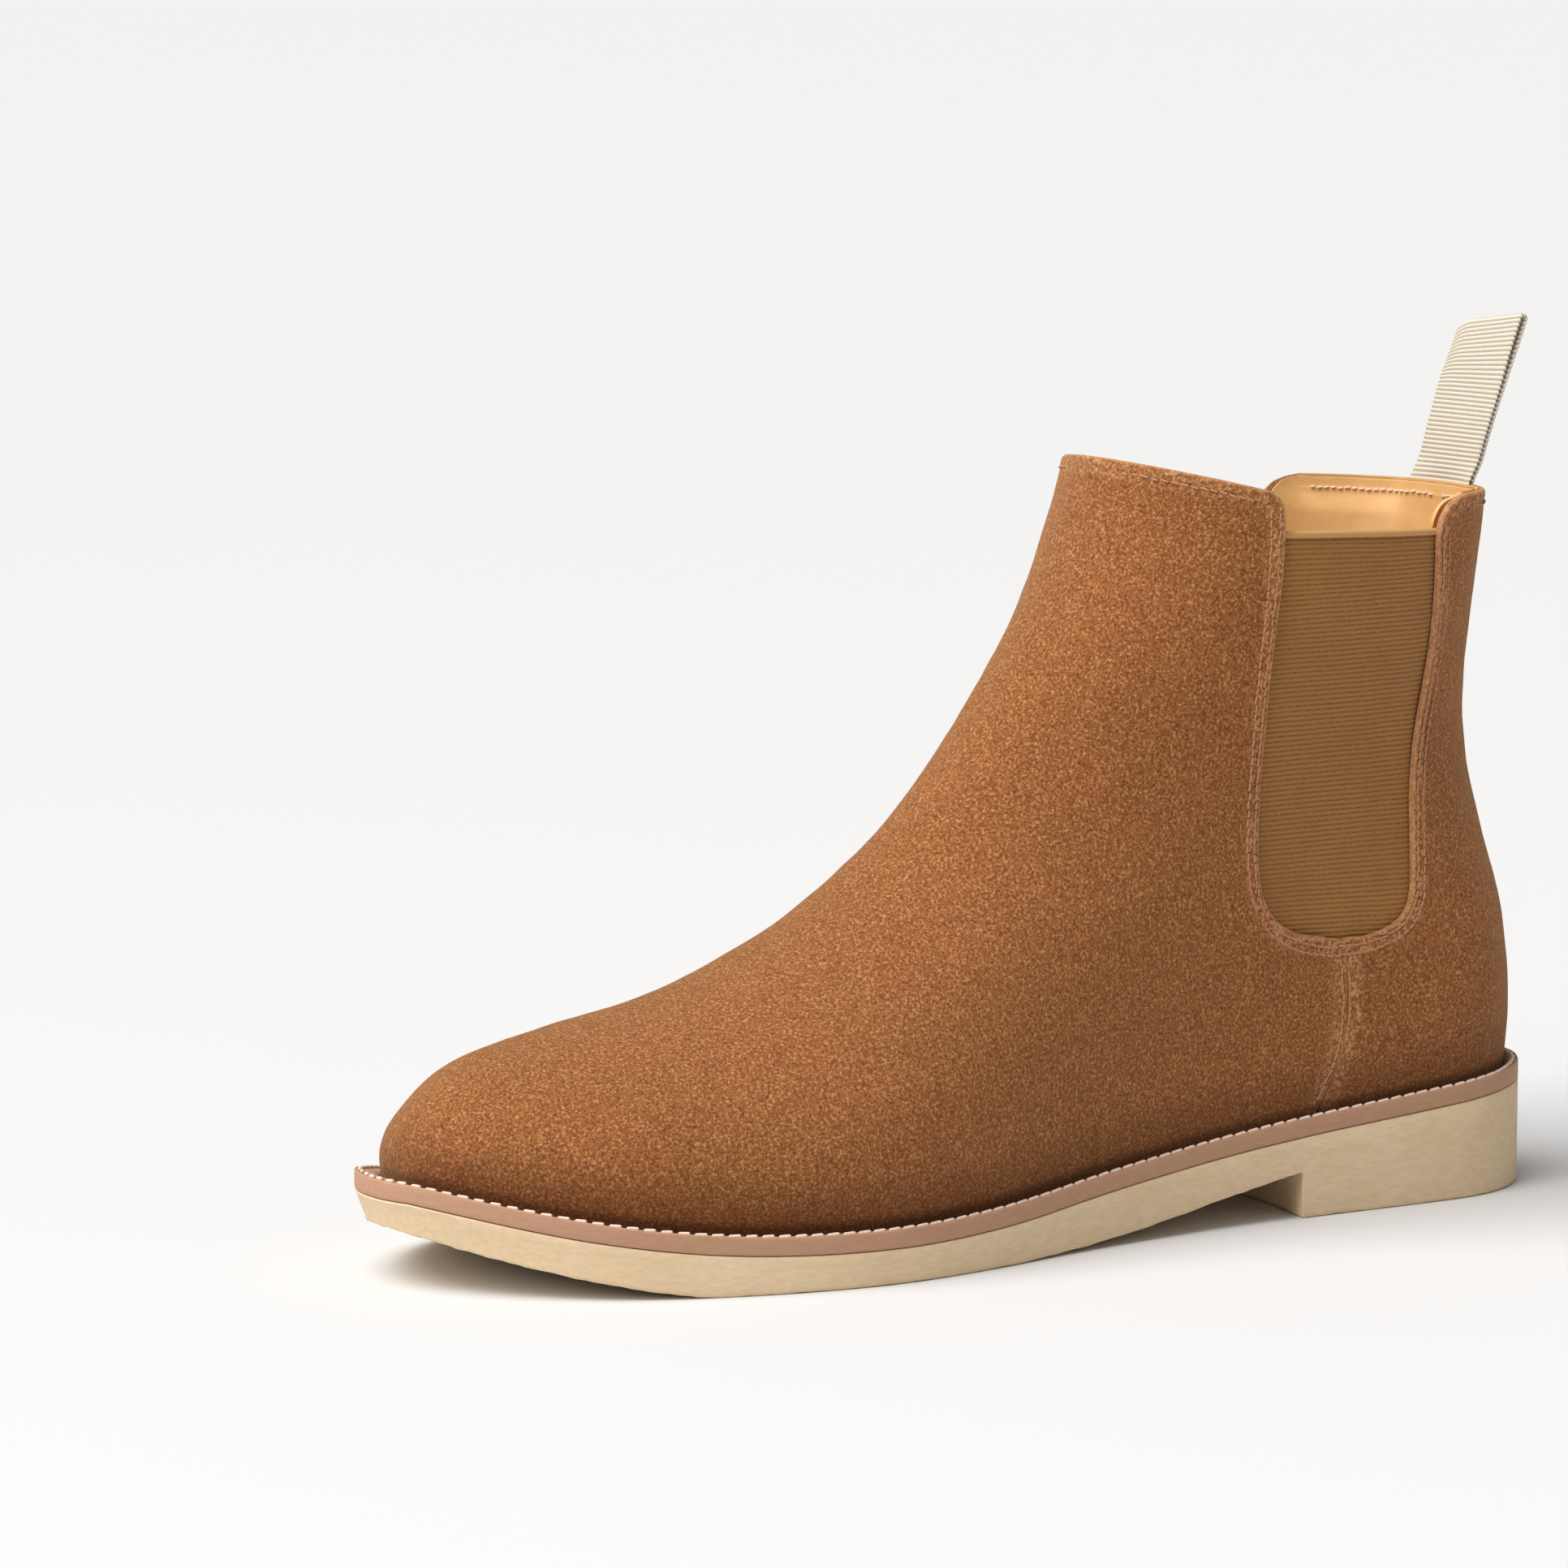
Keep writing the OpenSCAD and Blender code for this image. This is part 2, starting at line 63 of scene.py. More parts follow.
SHAFT = [(60, 34), (90, 33), (110, 33.5), (130, 36), (150, 39), (175, 41)]
MIDDLE = [(-150, -8.5), (-110, -6.5), (-70, -3.5), (-30, -2), (0, -1.5), (150, -1.5)]
UNDERSIDE = [(-154, 16.5), (-146, 12.8), (-130, 7.4), (-106, 1.8), (-92, 0), (-18, 0), (20, 2.5), (72, 11)]
LEDGE = [(-150, 6), (-120, 5.5), (-60, 5), (20, 4), (80, 3.5), (150, 3.6)]
FAN = [(-147, -147), (-140, -145), (-120, -138.5), (-90, -127), (-40, -108), (0, -96), (40, -86),
       (78.5, -77)]
VAMP_REAR = [(78.5, 24.3, 62), (82, 31, 63.5), (85.5, 39, 66.5), (86.5, 48, 70.5), (86.3, 56, 76),
             (85, 64.2, 84), (79, 64.8, 91), (72.5, 66.6, 108), (66.5, 70, 122), (62.3, 76, 130),
             (60.7, 85, 136), (61, 97, 141), (61.6, 112, 147), (62, 128, 154), (63, 146, 161),
             (63.8, 160, 168), (63.8, 165.5, 172), (63, 169, 174.5), (60.5, 171.3, 178)]
QUARTER_FRONT = [(78.9, 24.3, 30), (83.9, 35, 36), (86.9, 46, 45), (86.7, 56, 54), (85.6, 64.2, 61),
                 (92, 64.9, 65), (98.3, 66.4, 69), (103, 69, 73), (106, 74, 78), (107.5, 84, 86),
                 (108.3, 97, 97), (109.6, 109, 109), (111.3, 122, 121), (112, 134, 133),
                 (111.2, 144, 143), (110, 153, 152), (109.2, 158.5, 157.5), (109.9, 162.3, 161),
                 (112.3, 165.4, 164), (115.5, 167, 166), (119, 167.8, 167.3)]
GUSSET = [(78, 60.2, 92, 60.4), (67, 62.5, 102, 62.5), (60.5, 67, 108, 66), (57, 74, 112, 73),
          (55.6, 85, 112.5, 85), (56, 104, 114, 104), (57, 128, 117, 128), (58, 146, 116.5, 146),
          (59.5, 162, 114.5, 159.8)]


def fine(table, n=80):
    t = np.array(table, float)
    x, v = t[:, 0], t[:, 1]
    m = np.empty(len(x))
    m[1:-1] = (v[2:] - v[:-2]) / (x[2:] - x[:-2])
    m[0] = (v[1] - v[0]) / (x[1] - x[0])
    m[-1] = (v[-1] - v[-2]) / (x[-1] - x[-2])
    q = np.linspace(x[0], x[-1], n + 1)
    i = np.clip(np.searchsorted(x, q, side="left") - 1, 0, len(x) - 2)
    h = x[i + 1] - x[i]
    s = (q - x[i]) / h
    w = ((2 * s**3 - 3 * s**2 + 1) * v[i] + (s**3 - 2 * s**2 + s) * h * m[i]
         + (3 * s**2 - 2 * s**3) * v[i + 1] + (s**3 - s**2) * h * m[i + 1])
    return q, w


def through(points, n):
    """A smooth line through points of any direction."""
    p = np.array(points, float)
    out = []
    for i in range(len(p) - 1):
        a, b, c, d = p[max(i - 1, 0)], p[i], p[i + 1], p[min(i + 2, len(p) - 1)]
        for k in range(n):
            s = k / n
            out.append(0.5 * (2 * b + (c - a) * s + (2 * a - 5 * b + 4 * c - d) * s * s
                              + (3 * b - a - 3 * c + d) * s**3))
    out.append(p[-1])
    return np.array(out)


def smooth(a, b, x):
    t = np.clip((np.asarray(x, float) - a) / (b - a), 0, 1)
    return t * t * (3 - 2 * t)


ridge_line = np.vstack([through(RIDGE, 8), [[60, 270]]])
LINES = {name: fine(table) for name, table in (
    ("back", BACK), ("feather", FEATHER), ("outer", OUTER_PLAN), ("inner", INNER_PLAN),
    ("shaft", SHAFT), ("middle", MIDDLE), ("ledge", LEDGE), ("under", UNDERSIDE), ("fan", FAN))}


def look(name, x):
    return np.interp(x, *LINES[name])


def ridge_z(y):
    return np.interp(y, ridge_line[:, 0], ridge_line[:, 1])


def ridge_y(z):
    return np.interp(z, ridge_line[:, 1], ridge_line[:, 0])


def toward_zero(v, p):
    return np.sign(v) * np.abs(v) ** p


def plan_sq(y, side):
    t = np.minimum((y - TOE_Y) / TOE_ROUND, 1)
    h = np.minimum((HEEL_Y - y) / HEEL_ROUND, 1)
    w = np.where(side > 0, look("outer", y), look("inner", y))
    return w**2 * toward_zero(1 - (1 - t) ** 2.3, 2 / 2.3) * toward_zero(1 - (1 - h) ** 2.2, 2 / 2.2)


def width_sq(y, z, side):
    b = smooth(62, 118, z)
    plan_y = y - (look("back", z) - HEEL_Y) * smooth(40, 120, y)
    low = look("feather", y)
    t = np.maximum((z - low) / np.maximum(ridge_z(y) - low, 0.5), 0)
    up = np.clip((z - low) / 60, 0, 1)
    swell = (1 + 0.1 * np.sin(np.pi * np.minimum(t, 1)) * (1 - smooth(0, 100, y))
             + 0.05 * np.sin(np.pi * up) * smooth(60, 110, y))
    plan, arch = plan_sq(plan_y, side), (1 - t**2.1) * swell**2
    foot = np.where((plan < 0) & (arch < 0), -plan * arch, plan * arch)
    f = ridge_y(z)
    q = (y - f) / (look("back", z) - f)
    shaft = look("shaft", z) ** 2 * (1 - np.abs(2 * q - 1) ** 2.3)
    both = np.sign(shaft) * np.sqrt(np.maximum(foot * shaft, 0))
    return (1 - b) ** 2 * foot + b**2 * shaft + 2 * b * (1 - b) * both


def skin(y, z, side):
    y, z = np.asarray(y, float), np.asarray(z, float)
    return np.stack([look("middle", y) + side * np.sqrt(np.maximum(width_sq(y, z, side), 0)), y, z], -1)


def normals(p, side):
    e, x, y, z = 0.4, p[..., 0], p[..., 1], p[..., 2]
    u = x - look("middle", y)
    bend = (look("middle", y + e) - look("middle", y - e)) / (2 * e)
    dy = (width_sq(y + e, z, side) - width_sq(y - e, z, side)) / (2 * e)
    dz = (width_sq(y, z + e, side) - width_sq(y, z - e, side)) / (2 * e)
    n = np.stack([2 * u, -2 * u * bend - dy, -dz], -1)
    return n / np.linalg.norm(n, axis=-1, keepdims=True)


# ---------------------------------------------------------------- meshes
def noise_at(p, size, seed=0.0):
    flat = p.reshape(-1, 3)
    v = [noise.noise(Vector((a / size + seed, b / size - seed, c / size))) for a, b, c in flat]
    return np.array(v).reshape(p.shape[:-1])


def make(name, points, faces, material, body, node=None, attributes=(), sharp=55):
    """A mesh from points in millimetres. Points at one place are joined."""
    v = np.asarray(points, float).reshape(-1, 3)
    keys = np.round(v * 2e4).astype(np.int64)
    _, first, back = np.unique(keys, axis=0, return_index=True, return_inverse=True)
    back = back.reshape(-1)
    polys = []
    for f in faces:
        g = []
        for k in f:
            m = int(back[k])
            if m not in g:
                g.append(m)
        if len(g) > 2:
            polys.append(g)
    mesh = bpy.data.meshes.new(name)
    mesh.from_pydata((v[first] * MM).tolist(), [], polys)
    for label, values in attributes:
        a = mesh.attributes.new(label, "FLOAT", "POINT")
        a.data.foreach_set("value", np.asarray(values, np.float32).reshape(-1)[first])
    mesh.polygons.foreach_set("use_smooth", [True] * len(mesh.polygons))
    mesh.update()
    mesh.set_sharp_from_angle(angle=math.radians(sharp))
    mesh.materials.append(material)
    obj = bpy.data.objects.new(name, mesh)
    bpy.context.scene.collection.objects.link(obj)
    if body:
        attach(obj, body)
    if node:
        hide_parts(*([node] if isinstance(node, str) else node))
    return obj


def grid_faces(n, m, base=0, flip=False):
    i, j = np.meshgrid(np.arange(n - 1), np.arange(m - 1), indexing="ij")
    a = (base + i * m + j).ravel()
    q = np.stack([a, a + m, a + m + 1, a + 1], 1)
    return (q[:, ::-1] if flip else q).tolist()


def shell_faces(n, m, pinched=False):
    """Faces of a closed sheet: an outer and an inner n by m grid and the rims between them."""
    faces = grid_faces(n, m) + grid_faces(n, m, n * m, True)
    rim = [(i * m, (i + 1) * m) for i in range(n - 1)]
    rim += [((n - 1) * m + j, (n - 1) * m + j + 1) for j in range(m - 1)]
    rim += [(i * m + m - 1, (i - 1) * m + m - 1) for i in range(n - 1, 0, -1)]
    if not pinched:
        rim += [(j, j - 1) for j in range(m - 1, 0, -1)]
    k = n * m
    faces += [[b, a, a + k, b + k] for a, b in rim]
    return faces


def along_lines(lines, stations):
    """Side-view points: lines is (n, 4), stations a function from the lines' lengths to (n, m)."""
    lines = np.asarray(lines, float)
    length = np.hypot(lines[:, 2] - lines[:, 0], lines[:, 3] - lines[:, 1])
    v = stations(length)
    return (lines[:, None, 0] + (lines[:, 2] - lines[:, 0])[:, None] * v,
            lines[:, None, 1] + (lines[:, 3] - lines[:, 1])[:, None] * v)


def edge_stations(near, rest):
    near = np.array(near, float)

    def at(length):
        scale = np.minimum(1, 0.4 * length / near[-1])[:, None]
        a = near[None, :] * scale / length[:, None]
        s = a[:, -1:]
        return np.hstack([a, s + (1 - s) * np.sin(np.pi / 2 * np.arange(1, rest + 1) / rest)[None, :]])
    return at


def on_both_sides(y, z, first):
    """Lays the lines on both sides of the boot, over the ridge or the back line."""
    a, b = skin(y, z, first), skin(y, z, -first)
    p = np.concatenate([a, b[:, -2::-1]], 1)
    side = np.full(p.shape[:2], float(first))
    side[:, a.shape[1]:] = -first
    return p, normals(p, side)


class Edge:
    """Nearest distance to a line and the length along it, for points near that line."""

    def __init__(self, *lines):
        pts, far = [], []
        for line in lines:
            step = np.linalg.norm(np.diff(line, axis=0), axis=1)
            s = np.concatenate([[0], np.cumsum(step)])
            q = np.arange(0, s[-1], 0.2)
            pts.append(np.stack([np.interp(q, s, line[:, k]) for k in range(3)], 1))
            far.append(q)
        self.far = np.concatenate(far)
        pts = np.vstack(pts)
        self.tree = kdtree.KDTree(len(pts))
        for i, p in enumerate(pts):
            self.tree.insert(p, i)
        self.tree.balance()

    def measure(self, p):
        d = np.empty(len(p))
        s = np.empty(len(p))
        for i, q in enumerate(p):
            _, k, d[i] = self.tree.find(q)
            s[i] = self.far[k]
        return d, s

    def __call__(self, p):
        d, s = self.measure(p.reshape(-1, 3))
        return d.reshape(p.shape[:-1]), s.reshape(p.shape[:-1])


def bump_at(e, centre, width):
    return np.exp(-(((e - centre) / width) ** 2))


def round_edge(e, r):
    k = np.clip(r - e, 0, r)
    return r - np.sqrt(np.maximum(r * r - k * k, 0))


def wave(p):
    """The slight unevenness of the lasted upper."""
    return 0.42 * noise_at(p, 21.0) + 0.16 * noise_at(p, 8.0, 5.0) + 0.05 * noise_at(p, 3.2, 9.0)


# ---------------------------------------------------------------- materials
def linear(rgb):
    return tuple((c / 255 / 12.92) if c / 255 <= 0.04045 else ((c / 255 + 0.055) / 1.055) ** 2.4
                 for c in rgb) + (1.0,)


class Look:
    """A small helper that builds a node tree."""

    def __init__(self, name, roughness=0.6, **sockets):
        self.m = bpy.data.materials.new(name)
        self.m.use_nodes = True
        self.t = self.m.node_tree
        self.shader = self.t.nodes["Principled BSDF"]
        self.shader.inputs["Roughness"].default_value = roughness
        for label, value in sockets.items():
            self.shader.inputs[label.replace("_", " ")].default_value = value
        self.coord = self.t.nodes.new("ShaderNodeTexCoord").outputs["Object"]

    def node(self, kind, **values):
        n = self.t.nodes.new(kind)
        for k, v in values.items():
            if k in n.inputs:
                n.inputs[k].default_value = v
            else:
                setattr(n, k, v)
        return n

    def link(self, a, b):
        self.t.links.new(a, b)

    def noise(self, size_mm, detail=2.0, stretch=None, rough=0.6):
        n = self.node("ShaderNodeTexNoise")
        n.inputs["Scale"].default_value = 1000 / size_mm
        n.inputs["Detail"].default_value = detail
        n.inputs["Roughness"].default_value = rough
        if stretch:
            m = self.node("ShaderNodeMapping")
            m.inputs["Scale"].default_value = stretch
            self.link(self.coord, m.inputs["Vector"])
            self.link(m.outputs["Vector"], n.inputs["Vector"])
        else:
            self.link(self.coord, n.inputs["Vector"])
        return n.outputs["Fac"]

    def ramp(self, value, low, high, out_low=0.0, out_high=1.0):
        n = self.node("ShaderNodeMapRange")
        n.interpolation_type = "SMOOTHSTEP"
        n.inputs["From Min"].default_value = low
        n.inputs["From Max"].default_value = high
        n.inputs["To Min"].default_value = out_low
        n.inputs["To Max"].default_value = out_high
        self.link(value, n.inputs["Value"])
        return n.outputs["Result"]

    def attribute(self, name):
        n = self.node("ShaderNodeAttribute")
        n.attribute_name = name
        return n.outputs["Fac"]

    def math(self, op, a, b):
        n = self.node("ShaderNodeMath")
        n.operation = op
        for k, v in enumerate((a, b)):
            if isinstance(v, (int, float)):
                n.inputs[k].default_value = v
            else:
                self.link(v, n.inputs[k])
        return n.outputs[0]

    def mix(self, factor, a, b, blend="MIX"):
        n = self.node("ShaderNodeMix")
        n.data_type = "RGBA"
        n.blend_type = blend
        if isinstance(factor, (int, float)):
            n.inputs["Factor"].default_value = factor
        else:
            self.link(factor, n.inputs["Factor"])
        for label, v in (("A", a), ("B", b)):
            socket = [s for s in n.inputs if s.name == label and s.type == "RGBA"][0]
            if isinstance(v, tuple):
                socket.default_value = v
            else:
                self.link(v, socket)
        return [s for s in n.outputs if s.type == "RGBA"][0]

    def colour(self, value):
        if isinstance(value, tuple):
            self.shader.inputs["Base Color"].default_value = value
        else:
            self.link(value, self.shader.inputs["Base Color"])

    def bump(self, height, strength, distance_mm):
        n = self.node("ShaderNodeBump")
        n.inputs["Strength"].default_value = strength
        n.inputs["Distance"].default_value = distance_mm * MM
        self.link(height, n.inputs["Height"])
        self.link(n.outputs["Normal"], self.shader.inputs["Normal"])


def suede_look():
    k = Look("suede", 0.95, Specular_IOR_Level=0.12, Sheen_Weight=0.34, Sheen_Roughness=0.5,
             Sheen_Tint=linear((240, 205, 160)))
    grain = k.noise(0.68, 3.0, rough=0.75)
    blotch = k.noise(3.0, 3.0)
    patch = k.noise(30, 2.0)
    c = k.mix(k.ramp(patch, 0.35, 0.65), linear((148, 92, 49)), linear((153, 92, 52)))
    c = k.mix(k.ramp(blotch, 0.3, 0.7, 0.0, 0.4), c, linear((132, 80, 42)))
    c = k.mix(k.ramp(grain, 0.5, 0.36, 0.0, 0.8), c, linear((92, 52, 27)))
    c = k.mix(k.ramp(grain, 0.52, 0.66, 0.0, 0.75), c, linear((210, 156, 102)))
    patches = k.ramp(k.noise(0.8), 0.3, 0.6, 0.3, 0.8)
    fuzz = k.math("MULTIPLY", k.ramp(k.attribute("edge"), 0.75, 0.1), patches)
    c = k.mix(fuzz, c, linear((196, 142, 98)))
    worn = k.ramp(k.noise(1.0, 2.0), 0.5, 0.62, 0.05, 0.75)
    band = k.math("MULTIPLY", k.ramp(k.attribute("edge"), 5.2, 2.6), worn)
    c = k.mix(band, c, linear((206, 154, 110)))
    # Painted shade: the suede is painted dark brown towards the welt, over the lowest 17 mm and most in the
    # lowest 5 mm, standing in for the shadow above the welt.
    wide_painted_shade = k.math("MULTIPLY", k.ramp(k.attribute("rise"), 17, 0.5), 0.42)
    low = k.math("MULTIPLY", k.ramp(k.attribute("rise"), 5.0, 0.3), 0.75)
    c = k.mix(k.math("MAXIMUM", wide_painted_shade, low), c, linear((54, 27, 14)))
    k.colour(c)
    k.bump(k.math("ADD", grain, k.math("MULTIPLY", blotch, 0.5)), 0.7, 0.4)
    return k.m


def elastic_look():
    k = Look("elastic", 0.85, Specular_IOR_Level=0.2, Sheen_Weight=0.1)
    # Painted shade: the rib attribute paints the troughs between the ribs, and the crease under the rolled
    # hem, darker.
    c = k.mix(k.ramp(k.attribute("rib"), -0.9, 0.3), linear((126, 84, 44)), linear((164, 113, 62)))
    knit = k.noise(0.6, 1.0, stretch=(1, 1.6, 0.8))
    c = k.mix(k.ramp(knit, 0.35, 0.65, 0.0, 0.45), c, linear((172, 124, 70)))
    c = k.mix(k.ramp(k.noise(18), 0.35, 0.65, 0.0, 0.2), c, linear((132, 92, 46)))
    # The rolled hem along the top edge is painted lighter.
    c = k.mix(k.ramp(k.attribute("rib"), 1.1, 1.9), c, linear((196, 148, 92)))
    k.colour(c)
    k.bump(knit, 0.35, 0.2)
    return k.m


def lining_look():
    k = Look("lining_leather", 0.55, Specular_IOR_Level=0.35)
    c = k.mix(k.ramp(k.noise(14, 3.0), 0.3, 0.7), linear((224, 172, 106)), linear((236, 188, 126)))
    k.colour(c)
    k.bump(k.noise(1.2, 3.0), 0.25, 0.15)
    return k.m


def rubber_look():
    k = Look("sole_rubber", 0.72, Specular_IOR_Level=0.3)
    streak = k.noise(1.4, 4.0, stretch=(1, 0.35, 1.6))
    c = k.mix(k.ramp(k.noise(30, 2.0), 0.3, 0.7), linear((227, 201, 163)), linear((233, 208, 172)))
    c = k.mix(k.ramp(streak, 0.35, 0.65, 0.0, 0.3), c, linear((202, 174, 134)))
    k.colour(c)
    k.bump(streak, 0.35, 0.25)
    return k.m


def welt_look():
    k = Look("welt_leather", 0.6, Specular_IOR_Level=0.35)
    streak = k.noise(1.6, 3.0, stretch=(1, 0.4, 1.5))
    c = k.mix(k.ramp(k.noise(22), 0.35, 0.65), linear((186, 146, 112)), linear((190, 144, 118)))
    c = k.mix(k.ramp(streak, 0.35, 0.7, 0.0, 0.3), c, linear((165, 124, 92)))
    k.colour(c)
    k.bump(streak, 0.25, 0.15)
    return k.m


def thread_look(name, rgb):
    k = Look(name, 0.7, Specular_IOR_Level=0.3, Sheen_Weight=0.1)
    darker = tuple(int(v * 0.8) for v in rgb)
    c = k.mix(k.ramp(k.noise(0.5, 1.0), 0.3, 0.7, 0.0, 0.3), linear(rgb), linear(darker))
    k.colour(c)
    return k.m


def webbing_look():
    k = Look("webbing", 0.85, Specular_IOR_Level=0.2, Sheen_Weight=0.1)
    # Painted shade: the rib attribute paints the troughs between the webbing's ribs darker.
    c = k.mix(k.ramp(k.attribute("rib"), -0.9, 0.2), linear((172, 160, 138)), linear((224, 217, 203)))
    c = k.mix(k.ramp(k.noise(0.5, 1.0), 0.35, 0.65, 0.0, 0.25), c, linear((205, 192, 168)))
    k.colour(c)
    k.bump(k.noise(0.4, 1.0), 0.3, 0.15)
    return k.m


def plain_look(name, rgb, roughness=0.7, metallic=0.0):
    k = Look(name, roughness, Metallic=metallic)
    darker = tuple(int(v * 0.85) for v in rgb)
    c = k.mix(k.ramp(k.noise(6, 3.0), 0.3, 0.7, 0.0, 0.3), linear(rgb), linear(darker))
    k.colour(c)
    return k.m


SUEDE, ELASTIC, LINING = suede_look(), elastic_look(), lining_look()
RUBBER, WELT, WEBBING = rubber_look(), welt_look(), webbing_look()
WELT_THREAD = thread_look("welt_thread", (240, 214, 198))
UPPER_THREAD = thread_look("upper_thread", (190, 134, 94))

# ---------------------------------------------------------------- vamp and back quarter
NEAR = [0, .1, .25, .45, .7, 1, 1.35, 1.7, 2.1, 2.5, 2.9, 3.3, 3.7, 4.1, 4.6, 5.3, 6.2, 7.4]
a = np.linspace(0, 1, 92)
fan_y = TOE_Y + (78.5 - TOE_Y) * (1 - np.cos(np.pi / 2 * a))
fan_r = look("fan", fan_y)
fan_lines = np.stack([fan_y, look("feather", fan_y) - MARGIN_H, fan_r, ridge_z(fan_r)], 1)


def rear_lines(points, n, last):
    """Side-view lines through the rear or front edge points, closer together at the end."""
    p = through(points, n)
    tail = through(points, 40)
    tail = tail[-40 * last - 1:]
    pick = np.unique(np.round(40 * last * (1 - (1 - np.linspace(0, 1, 12 * last)) ** 1.7)).astype(int))
    return np.vstack([p[: len(p) - n * last - 1], tail[pick]])


q = rear_lines(VAMP_REAR, 7, 2)
vamp_rear = np.stack([q[:, 0], q[:, 1], ridge_y(q[:, 2]), q[:, 2]], 1)
vamp_lines = np.vstack([fan_lines, vamp_rear])
q = rear_lines(QUARTER_FRONT, 7, 3)
low = QUARTER_FRONT[0]
drop = np.linspace(MARGIN_H, 0.6, 6)
quarter_low = np.stack([np.full(6, low[0]), low[1] - drop, look("back", low[2] - drop), low[2] - drop], 1)
quarter_lines = np.vstack([quarter_low, np.stack([q[:, 0], q[:, 1], look("back", q[:, 2]), q[:, 2]], 1)])


def edge_line(lines, low_z, high_z, side):
    keep = (lines[:, 1] >= low_z) & (lines[:, 1] <= high_z)
    return skin(lines[keep, 0], lines[keep, 1], side)


def panel(lines, first, rest, seam_from):
    """Points, normals and edge distances of a panel of the upper."""
    y, z = along_lines(lines, edge_stations(NEAR, rest))
    p, n = on_both_sides(y, z, first)
    rear = lines[seam_from:]
    gus = Edge(*[edge_line(rear, 64.0, 173, s) for s in (1, -1)])
    seam = Edge(*[edge_line(rear, 18, 64.3, s) for s in (1, -1)])
    collar = Edge(p[-1])
    return p, n, gus(p), seam(p), collar(p)


def suede_panel(name, node, lines, first, rest, seam_from, pinched, seam_rows):
    p, n, (eg, sg), (es, _), (ec, sc) = panel(lines, first, rest, seam_from)
    e = np.minimum(np.minimum(eg, es), ec)
    rise = p[..., 2] - look("feather", p[..., 1])
    depth = round_edge(e, 0.6)
    depth += 0.13 * bump_at(eg, 1.4, 0.4) + 0.12 * bump_at(eg, 3.4, 0.45) - 0.1 * bump_at(eg, 2.4, 0.7)
    depth += 0.08 * np.cos(2 * np.pi * sg / 2.9) * bump_at(eg, 2.4, 1.4)
    depth += 0.2 * bump_at(ec, 3.0, 0.5) - 0.1 * bump_at(ec, 1.5, 0.8)
    depth += 0.04 * np.cos(2 * np.pi * sc / 2.9) * bump_at(ec, 3.0, 1.2)
    if seam_rows:
        depth += 0.18 * bump_at(es, 1.3, 0.4)
    else:
        depth += 0.25 * bump_at(es, 0.0, 1.2)
    depth -= wave(p) * smooth(0, 6, rise)
    outer = p - n * depth[..., None]
    inner = p - n * SUEDE_T
    shape = p.shape[:2]
    attr = [("edge", np.concatenate([e.ravel(), np.zeros(e.size)])),
            ("rise", np.concatenate([rise.ravel(), rise.ravel()]))]
    return make(name, np.concatenate([outer.reshape(-1, 3), inner.reshape(-1, 3)]),
                shell_faces(*shape, pinched), SUEDE, "boot", node, attr)


def lining_depth(p, ec):
    """How far under the suede's face the lining lies, nearer at the collar but not over the tab's ends."""
    depth = LINING_D - 1.5 * (1 - smooth(2.0, 9.0, ec))
    across = 1 - smooth(11.5, 17, np.abs(p[..., 0] + 1.5))
    near_tab = across * smooth(120, 130, p[..., 1]) * smooth(140, 155, p[..., 2])
    return depth + (4.2 - depth) * near_tab


def lining_panel(name, node, lines, first, rest, pinched):
    lines = lines.copy()
    cut = lines[:, 2:] - lines[:, :2]
    length = np.linalg.norm(cut, axis=1, keepdims=True)
    shy = np.where(lines[:, 1:2] > 60, 1.1, 0.0)
    lines[:, :2] += cut / length * np.minimum(shy, 0.3 * length)
    y, z = along_lines(lines, edge_stations([0, .15, .4, .8, 1.5, 2.5, 4, 6], rest))
    z[-1] -= 0.7
    p, n = on_both_sides(y, z, first)
    ec, _ = Edge(p[-1])(p)
    depth = lining_depth(p, ec)
    depth = depth - 0.5 * wave(p) * smooth(0, 9, ec) + 0.12 * bump_at(ec, 3.0, 0.5)
    outer = p - n * (depth + round_edge(ec, 0.3))[..., None]
    inner = p - n * (depth + LINING_T - round_edge(ec, 0.3))[..., None]
    obj = make(name, np.concatenate([outer.reshape(-1, 3), inner.reshape(-1, 3)]),
               shell_faces(*p.shape[:2], pinched), LINING, "boot", node)
    return obj


suede_panel("vamp_suede", "vamp", vamp_lines, 1, 62, len(fan_lines), True, True)
suede_panel("back_quarter_suede", "back_quarter", quarter_lines, -1, 40, 0, False, False)
thin = list(range(0, len(fan_lines), 2)) + list(range(len(fan_lines), len(vamp_lines) - 20, 2))
thin += list(range(len(vamp_lines) - 20, len(vamp_lines)))
lining_panel("vamp_lining_leather", "vamp_lining", vamp_lines[thin], 1, 40, True)
lining_panel("quarter_lining_leather", "quarter_lining", quarter_lines, -1, 28, False)

# ---------------------------------------------------------------- elastic gussets
RIB = 1.15


